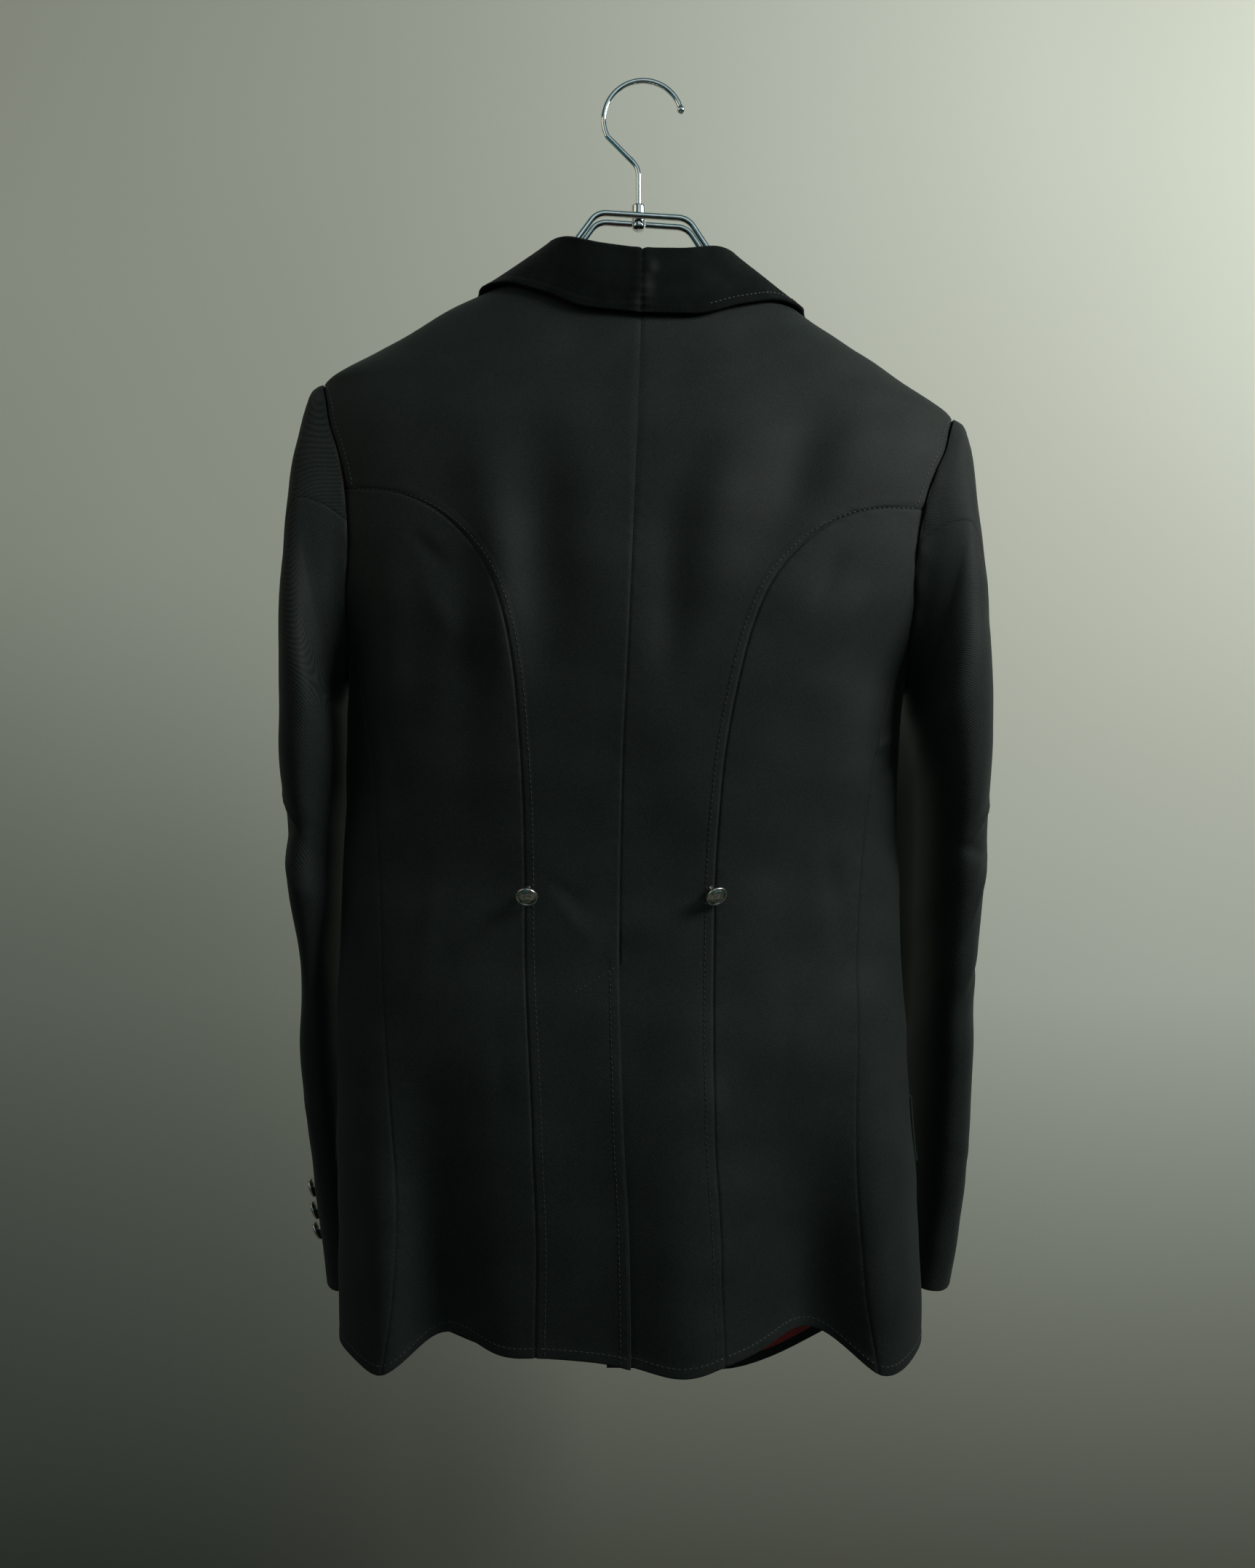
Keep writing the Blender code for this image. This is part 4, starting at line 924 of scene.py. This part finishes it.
# Lapels and pocket flaps
lapel = {
    "share": (0, 0.3, 0.6, 0.8, 0.92, 1),
    "height": (-380, -345, -300, -262, -245, -232),
    "out": (4, 50, 84, 106, 117, 120),
}
lapelShape = {"start": -384, "short": 26, "lift": 3.8, "grid": (40, 90)}
lapelAt = columnsOf(lapel, "share")
flap = {
    "start": 92, "end": 142, "topSide": -698, "topFront": -676, "drop": 44, "slope": 6, "lift": 3.4,
    "grid": (44, 34),
}


def laidGrid(grid):
    v = crowdedStops(grid[1], 0.6)
    return *np.meshgrid(crowdedStops(grid[0], 0.6), v), v


def lapelPlace(u, v):
    top, low = fronts["rollTop"], fronts["breakHeight"]
    rollHeight = between(lapelShape["start"], top[1] - lapelShape["short"], v)
    t = (rollHeight - low) / (top[1] - low)
    rollOut = between(-fronts["lap"], top[0], t)
    height = between(rollHeight, lapelAt["height"](v), u)
    out = between(rollOut, lapelAt["out"](v), u)
    return frontTurn(out, height), height


def dressLaid():
    edge = {"stitch": 5.0, "pad": 0.25}
    for side, label in ((-1, "left"), (1, "right")):
        u, v2, v = laidGrid(lapelShape["grid"])
        turn, height = lapelPlace(u, v2)
        normals = bodyNormal(side * turn, height)
        lift = lapelShape["lift"] + (lapOut(turn, height) if side > 0 else 0)
        base = bodyPoint(side * turn, height) + normals * np.broadcast_to(lift, turn.shape)[..., None]
        edges = {"end": edge, "hem": {}, "top": {}}
        dressGrid("lapel_" + label, base, normals, v, edges, tuple(edges), side, waves=0.3)
        u, v2, v = laidGrid(flap["grid"])
        turn = between(flap["start"], flap["end"], u)
        top = between(flap["topSide"], flap["topFront"], u)
        height = top - (1 - v2) * (flap["drop"] + flap["slope"] * np.sin(math.pi * u))
        normals = bodyNormal(side * turn, height)
        base = bodyPoint(side * turn, height) + normals * flap["lift"]
        edges = {"start": edge, "end": edge, "hem": edge}
        dressGrid("pocket_flap_" + label, base, normals, v, edges, tuple(edges), side, waves=0.2)
    print("lapels and flaps dressed")


# Sleeves: outlines seen from behind, breadth from back to front and swing forward
sleeve = {
    "share": (0, 0.04, 0.08, 0.15, 0.25, 0.38, 0.5, 0.62, 0.75, 0.88, 1),
    "outerLeft": (214, 219.5, 223, 228, 234, 239, 241.5, 239.5, 239.8, 237, 231),
    "outerRight": (214, 219.5, 222.5, 227, 232.5, 238, 240.5, 238.5, 238.8, 236.8, 231),
    "outerZ": (-222, -226, -238, -272, -335, -430, -505, -585, -675, -768, -848),
    "innerLeft": (190, 192.5, 194, 196.5, 199.5, 203.5, 208, 212, 210, 203, 193),
    "innerRight": (190, 192.5, 194, 195.5, 196.5, 198, 200, 201, 200, 198, 192),
    "innerZ": (-414, -417, -421, -428, -443, -475, -525, -595, -680, -768, -844),
    "breadth": (48, 50, 53, 57, 62, 64, 62, 60, 58, 56, 55),
    "forward": (0, 0, 0, 0, 2, 12, 28, 46, 64, 82, 96),
    "curl": (0, 0, 0, 2, 10, 24, 28, 28, 24, 20, 18),
    "hindSeam": (90, 84, 76, 60, 44, 34, 30, 28, 24, 20, 16),
}
armSway = {
    "share": (0, 0.15, 0.25, 0.38, 0.5, 0.62, 0.75, 0.88, 1),
    "aside": (0, 0, 3, 8, 11, 13.3, 11.6, 8.7, 6.5),
}
# Sleeve folds: side, place along and round, half lengths of each and rise
sleeveFolds = {
    "side": (-1, -1, -1, 1, 1, 1, -1, 1, -1, 1),
    "along": (0.5, 0.56, 0.66, 0.5, 0.58, 0.69, 0.3, 0.28, 0.54, 0.53),
    "turn": (70, 95, 60, 75, 95, 70, 110, 115, 260, 262),
    "long": (0.03, 0.035, 0.05, 0.035, 0.05, 0.04, 0.06, 0.06, 0.04, 0.04),
    "round": (45, 50, 40, 40, 40, 45, 30, 30, 45, 45),
    "rise": (-5, 3, -4, -5, -5, -4, 3, 3, -6, -6),
}
# Small sleeve creases: side, place along, slant against the turn, breadth, middle turn, reach and rise
elbowCreases = {
    "side": (-1, -1, -1, 1, 1, 1, 1, -1, 1),
    "along": (0.478, 0.5, 0.54, 0.49, 0.52, 0.575, 0.66, 0.8, 0.84),
    "slant": (0.0003, -0.0004, 0.0005, 0.0004, -0.0005, 0.0012, 0.0005, 0.0004, -0.0004),
    "breadth": (0.006, 0.007, 0.009, 0.006, 0.008, 0.011, 0.01, 0.01, 0.01),
    "turn": (60, 75, 50, 60, 80, 60, 50, 60, 60),
    "reach": (40, 35, 45, 40, 35, 45, 40, 40, 40),
    "rise": (1.3, -1.2, 0.9, 1.3, -1.2, 1.3, -1.3, 0.7, 0.7),
}
sleeveShape = {
    "square": 2.15, "capShare": 0.13, "forearm": 222, "gap": 0.2, "underarm": 0.9, "grid": (60, 190),
    "gather": 0.35, "gatherShare": 0.035, "cuffTurning": 34, "headTurning": 16,
}
sleeveAt = columnsOf(sleeve, "share")
armSwayAt = columnsOf(armSway, "share")["aside"]


def headRing(over, outer, inner):
    high, low = sleeve[outer][0], sleeve[inner][0]
    return (high + low) / 2 + over * (high - low) / 2


def sleevePoint(side, turn, share):
    turn, share = np.broadcast_arrays(np.asarray(turn, float), np.asarray(share, float))
    line = {name: curve(share) for name, curve in sleeveAt.items()}
    outerX = line["outerLeft" if side < 0 else "outerRight"]
    innerX = line["innerLeft" if side < 0 else "innerRight"]
    angle = np.radians(turn)
    over = signedPower(np.cos(angle), 2 / sleeveShape["square"])
    back = signedPower(np.sin(angle), 2 / sleeveShape["square"])
    x = (outerX + innerX) / 2 + over * (outerX - innerX) / 2
    z = (line["outerZ"] + line["innerZ"]) / 2 + over * (line["outerZ"] - line["innerZ"]) / 2
    y = line["forward"] - back * line["breadth"]
    x = x - line["curl"] * np.maximum(-back, 0) ** 2
    rise = np.zeros_like(x)
    for i, foldSide in enumerate(sleeveFolds["side"]):
        if foldSide == side:
            along = (share - sleeveFolds["along"][i]) / sleeveFolds["long"][i]
            away = ((turn - sleeveFolds["turn"][i] + 180) % 360 - 180) / sleeveFolds["round"][i]
            rise += sleeveFolds["rise"][i] * np.exp(-along * along - away * away)
    hung = hang(side * (x + rise * over), y - rise * back, z)
    hung[..., 0] += armSwayAt(share)
    near = stepUp(1 - share / sleeveShape["capShare"])
    bodyTurn, height = armholePlace(np.mod(turn, 360))
    gap = sleeveShape["gap"] + sleeveShape["underarm"] * np.maximum(-np.cos(angle), 0)
    edge = bodyPoint(side * bodyTurn, height)
    edge[..., 0] += side * gap
    label = "Left" if side < 0 else "Right"
    ring = hang(
        side * headRing(over, "outer" + label, "inner" + label), -back * sleeve["breadth"][0],
        headRing(over, "outerZ", "innerZ"),
    )
    return hung + (edge - ring) * near[..., None]


def sleeveOutward(side, turn, share):
    low, high = np.maximum(share - 0.004, 0), np.minimum(share + 0.004, 1)
    around = sleevePoint(side, turn + 1, share) - sleevePoint(side, turn - 1, share)
    along = sleevePoint(side, turn, high) - sleevePoint(side, turn, low)
    return unit(np.cross(around, along)) * side


def elbowRise(side, turn, share):
    total = np.zeros_like(turn)
    for i, creaseSide in enumerate(elbowCreases["side"]):
        if creaseSide == side:
            away = turn - elbowCreases["turn"][i]
            middle = elbowCreases["along"][i] + elbowCreases["slant"][i] * away
            across = np.exp(-(((share - middle) / elbowCreases["breadth"][i]) ** 2))
            total += elbowCreases["rise"][i] * across * np.exp(-((away / elbowCreases["reach"][i]) ** 2))
    return total


def dressSleeves():
    hind, forearm = sleeveAt["hindSeam"], sleeveShape["forearm"]
    columns, count = sleeveShape["grid"]
    v = 1 - rowStops(count, 30)
    seam = {"deep": 0.8, "pucker": 0.5}
    for side, label in ((-1, "left"), (1, "right")):
        for name, start, end in (
            ("upper_sleeve_", lambda at: forearm - 360 + 0 * at, hind),
            ("under_sleeve_", hind, lambda at: forearm + 0 * at),
        ):
            u, v2 = np.meshgrid(crowdedStops(columns), v)
            turn = between(start(v2), end(v2), u)
            normals = sleeveOutward(side, turn, v2)
            rise = cloth["wall"] + elbowRise(side, turn, v2)
            base = sleevePoint(side, turn, v2) + normals * rise[..., None]
            gather = sleeveShape["gather"] * np.sin(turn * 0.42) * stepUp(v2 / 0.004)
            gather = gather * np.exp(-((v2 / sleeveShape["gatherShare"]) ** 2))
            base = base + normals * gather[..., None]
            lined = distanceTo(base, base[0]) > sleeveShape["cuffTurning"]
            lined = lined & (distanceTo(base, base[-1]) > sleeveShape["headTurning"])
            edges = {"start": seam, "end": seam, "hem": {"pucker": 0.3}, "top": {"deep": 0.5, "pucker": 0.6}}
            dressGrid(name + label, base, normals, v, edges, ("hem",), side, waves=0.8, lined=lined)
    print("sleeves dressed")


# Buttons: plain domes with rings round them, on sewn shanks
button = {
    "steps": 56, "waist": (58.4, -548), "droop": 38, "waistShank": 7.4, "cuffs": (0.9, 0.926, 0.95),
    "cuffTurn": {-1: 6, 1: -70}, "fronts": (-462, -532, -602), "shank": 3.2, "lift": 1.3,
    "ring": (0, 1.2, 2.3, 2.62, 2.95, 3.9, 4.7, 5.3, 5.7, 5.92, 6.1, 6.35, 6.75, 7.05, 7.24, 7.3, 7.2, 6.9,
             6.3),
    "rise": (3.4, 3.37, 3.22, 2.98, 3.12, 2.84, 2.45, 2.04, 1.62, 1.55, 1.8, 2.06, 2.08, 1.9, 1.5, 1.1,
             0.55, 0.15, 0),
}


def latheObject(node, slot, profile, matrix, material, steps):
    # a profile turned once round its own upright, then put in its place
    name = f"{node}_{'metal' if slot == 'silver' else 'chrome'}"
    bm = bmesh.new()
    verts = [bm.verts.new((x * mm, 0, z * mm)) for x, z in profile]
    edges = [bm.edges.new(pair) for pair in zip(verts, verts[1:])]
    bmesh.ops.spin(
        bm, geom=verts + edges, cent=(0, 0, 0), axis=(0, 0, 1), angle=2 * math.pi, steps=steps, use_merge=True
    )
    bmesh.ops.remove_doubles(bm, verts=bm.verts[:], dist=1e-6)
    bmesh.ops.recalc_face_normals(bm, faces=bm.faces[:])
    bmesh.ops.transform(bm, matrix=matrix, verts=bm.verts[:])
    mesh = meshFrom(bm, name)
    mesh.shade_smooth()
    mesh.set_sharp_from_angle(angle=math.radians(50))
    addObject(name, slot, mesh, (node,), material)


def placeButton(name, point, outward, shank):
    profile = [(x, shank + z) for x, z in zip(button["ring"], button["rise"])]
    profile += [(2.2, shank - 0.2), (1.7, shank - 0.3), (1.4, shank * 0.5), (1.7, 0), (0, 0)]
    turned = Vector(outward).to_track_quat("Z", "Y").to_matrix().to_4x4()
    matrix = Matrix.Translation(Vector(point) * mm) @ turned
    latheObject(name, "silver", profile, matrix, silverMetal, button["steps"])


def dressButtons():
    for side, label in ((-1, "left"), (1, "right")):
        out, height = button["waist"]
        turn = side * turnAt(out, height)
        normal = bodyNormal(turn, height)
        droop = math.radians(button["droop"])
        lean = np.array((0.3 if side > 0 else 0.0, 0, -math.sin(droop)))
        foot = bodyPoint(turn, height) + normal * button["lift"]
        placeButton("button_back_" + label, foot, unit(normal * math.cos(droop) + lean), button["waistShank"])
        for i, share in enumerate(button["cuffs"], 1):
            normal = sleeveOutward(side, button["cuffTurn"][side], share)
            foot = sleevePoint(side, button["cuffTurn"][side], share)
            foot = foot + normal * (cloth["wall"] + button["lift"])
            outward = unit(normal + np.array((0, 0, -0.22 - 0.06 * i)))
            placeButton(f"button_cuff_{label}_{i}", foot, outward, button["shank"] + 1.2)
    for i, height in enumerate(button["fronts"], 1):
        normal = bodyNormal(180, height)
        foot = bodyPoint(180, height) + normal * (seams["tuck"] + cloth["gap"])
        placeButton(f"button_front_{i}", foot, normal, button["shank"])
    print("buttons made")


# Hanger: hook with a ball tip, ferrule, and one closed wire of two bars
hanger = {
    "hookRadius": 27, "hookWire": 1.9, "ball": 2.75, "ballAngle": 15, "leaveAngle": 205, "bend": (-3, -58),
    "foot": (-3, -90), "collarTop": -80, "ferruleRadius": 4.8, "ferruleTop": -84, "ferruleFoot": -101.5,
    "barWire": 2.15, "barSpacing": 7.25, "barHeight": -94, "barHalf": 31, "corner": (61, -137), "tip": 192,
    "belowRidge": 9.6, "barBend": 7,
}


def wireObject(name, points, radius, radii=None, cyclic=False):
    curve = bpy.data.curves.new(name, "CURVE")
    curve.dimensions = "3D"
    curve.bevel_depth = radius * mm
    curve.bevel_resolution = 6
    curve.use_fill_caps = True
    spline = curve.splines.new("POLY")
    spline.points.add(len(points) - 1)
    for i, (target, point) in enumerate(zip(spline.points, points)):
        target.co = (point[0] * mm, point[1] * mm, point[2] * mm, 1)
        target.radius = radii[i] if radii else 1
    spline.use_cyclic_u = cyclic
    spline.use_smooth = True
    addObject(name + "_chrome", "chrome", curve, (name,), chromeMetal)


def rounded(corners, bend, steps, closed=False):
    path = []
    for i, corner in enumerate(corners):
        if not closed and i in (0, len(corners) - 1):
            path.append(corner)
            continue
        before, after = corners[i - 1] - corner, corners[(i + 1) % len(corners)] - corner
        reach = min(bend, before.length * 0.49, after.length * 0.49)
        start, end = corner + before.normalized() * reach, corner + after.normalized() * reach
        for k in range(steps + 1):
            t = k / steps
            path.append(start * (1 - t) ** 2 + corner * 2 * t * (1 - t) + end * t * t)
    return path


def dressHanger():
    radius, wire, ball = hanger["hookRadius"], hanger["hookWire"], hanger["ball"]
    centre = Vector((0, 0, wire - radius))
    ballAngle = math.radians(hanger["ballAngle"])
    offs = [-ball * math.cos(math.pi * k / 12 * 0.8) for k in range(12)]
    angles = [ballAngle + off / radius for off in offs]
    radii = [max(math.sqrt(max(ball**2 - off * off, 0)), 0.5) / wire for off in offs]
    first, last = ballAngle + ball / radius, math.radians(hanger["leaveAngle"])
    angles += [first + (last - first) * k / 64 for k in range(65)]
    points = [centre + Vector((math.cos(angle), 0, math.sin(angle))) * radius for angle in angles]
    bend, foot = (Vector((hanger[key][0], 0, hanger[key][1])) for key in ("bend", "foot"))
    points += rounded([points[-1], bend, foot], 6, 10)[1:]
    wireObject("hanger_hook", points, wire, radii + [1] * (len(points) - len(radii)))
    socket, ferrule = wire + cloth["gap"], hanger["ferruleRadius"]
    top, low = hanger["ferruleTop"], hanger["ferruleFoot"]
    depth = foot[2] - cloth["gap"]
    profile = [
        (0, depth), (socket, depth), (socket, top + 0.3), (socket + 0.3, top), (ferrule - 1.0, top),
        (ferrule - 0.4, top - 0.2), (ferrule - 0.05, top - 0.7), (ferrule, top - 1.1), (ferrule, low + 3.2),
        (ferrule - 0.12, low + 2.4), (ferrule * 0.86, low + 1.2), (ferrule * 0.66, low + 0.45),
        (ferrule * 0.4, low + 0.1), (0, low),
    ]
    matrix = Matrix.Translation((foot[0] * mm, 0, 0))
    latheObject("hanger_ferrule", "chrome", profile, matrix, chromeMetal, 56)
    wide = bodyAt["wide"]
    neckWide = wide(seams["sideNeck"])
    slope = (seams["shoulderPoint"] - seams["sideNeck"]) / (wide(seams["shoulderPoint"]) - neckWide)
    tipHeight = seams["sideNeck"] + slope * (hanger["tip"] - neckWide) - hanger["belowRidge"]
    half = [(hanger["barHalf"], hanger["barHeight"]), hanger["corner"], (hanger["tip"], tipHeight)]
    corners = []
    for y, order in ((-hanger["barSpacing"], 1), (hanger["barSpacing"], -1)):
        run = [(-x, z) for x, z in reversed(half)] + half
        corners += [Vector(hang(x, y, z)) for x, z in run[::order]]
    points = rounded(corners, hanger["barBend"], 10, closed=True)
    wireObject("hanger_wire", points, hanger["barWire"], cyclic=True)
    print("hanger made")


dressBody()
dressLinings()
dressCollar()
dressLaid()
dressSleeves()
dressButtons()
dressHanger()
sewStitches()
print("stitches sewn")

# Studio: a pale wall behind that shows from its front alone, a floor well below, soft light
studio = {
    "wallPlace": 0.46, "floorHeight": -1.5, "wallTone": "#bbbab0", "floorTone": "#6d6a64",
    "key": (1.2, -0.62, 0.35), "keyPower": 24, "keySize": 0.6, "keyTone": "#fbfff8", "aim": (0.1, 0.2, -0.2),
    "fill": (-1.4, -0.6, 0.3), "fillPower": 3.2, "fillSize": 1.0, "fillTone": "#ffe9c8",
    "soft": (0.5, -2.3, 0.9), "softPower": 7, "softSize": 2.2,
    "front": (-0.8, 1.7, 0.3), "frontPower": 18, "frontSize": 0.9,
    "world": "#55949a", "worldStrength": 0.3,
    # painted shade on the wall's foot and the floor: the height where it starts, how far down it deepens, and
    # its tone
    "paintedShadeTop": -0.7, "paintedShadeDepth": 0.62, "paintedShadeTone": "#77746a",
}


def makeStage(name, tone, oneSided):
    # painted board: a slow unevenness of tone, with painted shade darkening it towards its foot in place of
    # the shadow that falls low on the wall; the floor lies wholly below and takes the shade's tone all over
    material = bpy.data.materials.new(name)
    material.use_nodes = True
    tree = material.node_tree
    shader = tree.nodes["Principled BSDF"]
    place = addNode(tree, "TexCoord", "Object", {})
    cloud = addNode(tree, "TexNoise", "Fac", {"Vector": place, "Scale": 1.3, "Detail": 2.0})
    paint = addNode(tree, "ValToRGB", "Color", {"Fac": cloud}, stops=((0.3, tone), (0.8, "#c4c5bc")))
    parts = addNode(tree, "SeparateXYZ", None, {"Vector": place})
    # painted shade: the colour darkens from the top of the shade down to its full tone
    depth = addNode(tree, "Math", 0, {0: studio["paintedShadeTop"], 1: parts.outputs[2]}, operation="SUBTRACT")
    shade = addNode(tree, "Math", 0, {0: depth, 1: studio["paintedShadeDepth"]}, operation="DIVIDE", use_clamp=True)
    inputs = {0: shade, 6: paint, 7: toLinear(studio["paintedShadeTone"])}
    tree.links.new(addNode(tree, "Mix", 2, inputs, data_type="RGBA"), shader.inputs["Base Color"])
    shader.inputs["Roughness"].default_value = 0.9
    if oneSided:
        clear = addNode(tree, "BsdfTransparent", 0, {})
        behind = addNode(tree, "NewGeometry", "Backfacing", {})
        mixed = addNode(tree, "MixShader", 0, {0: behind, 1: shader.outputs[0], 2: clear})
        tree.links.new(mixed, tree.nodes["Material Output"].inputs["Surface"])
    return material


def stageBoard(name, width, length, matrix, material):
    bm = bmesh.new()
    bmesh.ops.create_grid(bm, x_segments=1, y_segments=1, size=0.5)
    bmesh.ops.transform(bm, matrix=matrix @ Matrix.Diagonal((width, length, 1, 1)), verts=bm.verts[:])
    mesh = meshFrom(bm, name)
    mesh.materials.append(material)
    linkObject(name, mesh)


def addLight(name, place, power, size, tone="#ffffff", aim=(0, 0, -0.45)):
    light = bpy.data.lights.new(name, "AREA")
    light.energy = power
    light.size = size
    light.color = toLinear(tone)[:3]
    made = linkObject(name, light)
    made.location = place
    made.rotation_euler = (Vector(aim) - Vector(place)).to_track_quat("-Z", "Y").to_euler()


upright = Matrix.Translation((0, studio["wallPlace"], -0.45)) @ Matrix.Rotation(math.radians(90), 4, "X")
# the wall's colour carries painted shade towards its foot
stageBoard("wall", 8, 6, upright, makeStage("wall with painted shade", studio["wallTone"], True))
level = Matrix.Translation((0, 0, studio["floorHeight"]))
stageBoard("floor", 8, 8, level, makeStage("pale floor", studio["floorTone"], False))
addLight("key", studio["key"], studio["keyPower"], studio["keySize"], studio["keyTone"], studio["aim"])
addLight("fill", studio["fill"], studio["fillPower"], studio["fillSize"], studio["fillTone"])
addLight("soft", studio["soft"], studio["softPower"], studio["softSize"])
addLight("front", studio["front"], studio["frontPower"], studio["frontSize"])

world = bpy.data.worlds.new("studio air")
bpy.context.scene.world = world
world.use_nodes = True
world.node_tree.nodes["Background"].inputs["Color"].default_value = toLinear(studio["world"])
world.node_tree.nodes["Background"].inputs["Strength"].default_value = studio["worldStrength"]
bpy.context.scene.view_settings.view_transform = "Standard"

cameraData = bpy.data.cameras.new("camera")
cameraData.sensor_fit = "VERTICAL"
cameraData.sensor_height = 36
cameraData.lens = 28.72
camera = linkObject("camera", cameraData)
camera.location = (-0.01075, -0.86, -0.4815)
camera.rotation_euler = (math.radians(90), 0, 0)
bpy.context.scene.camera = camera
print("studio lit")
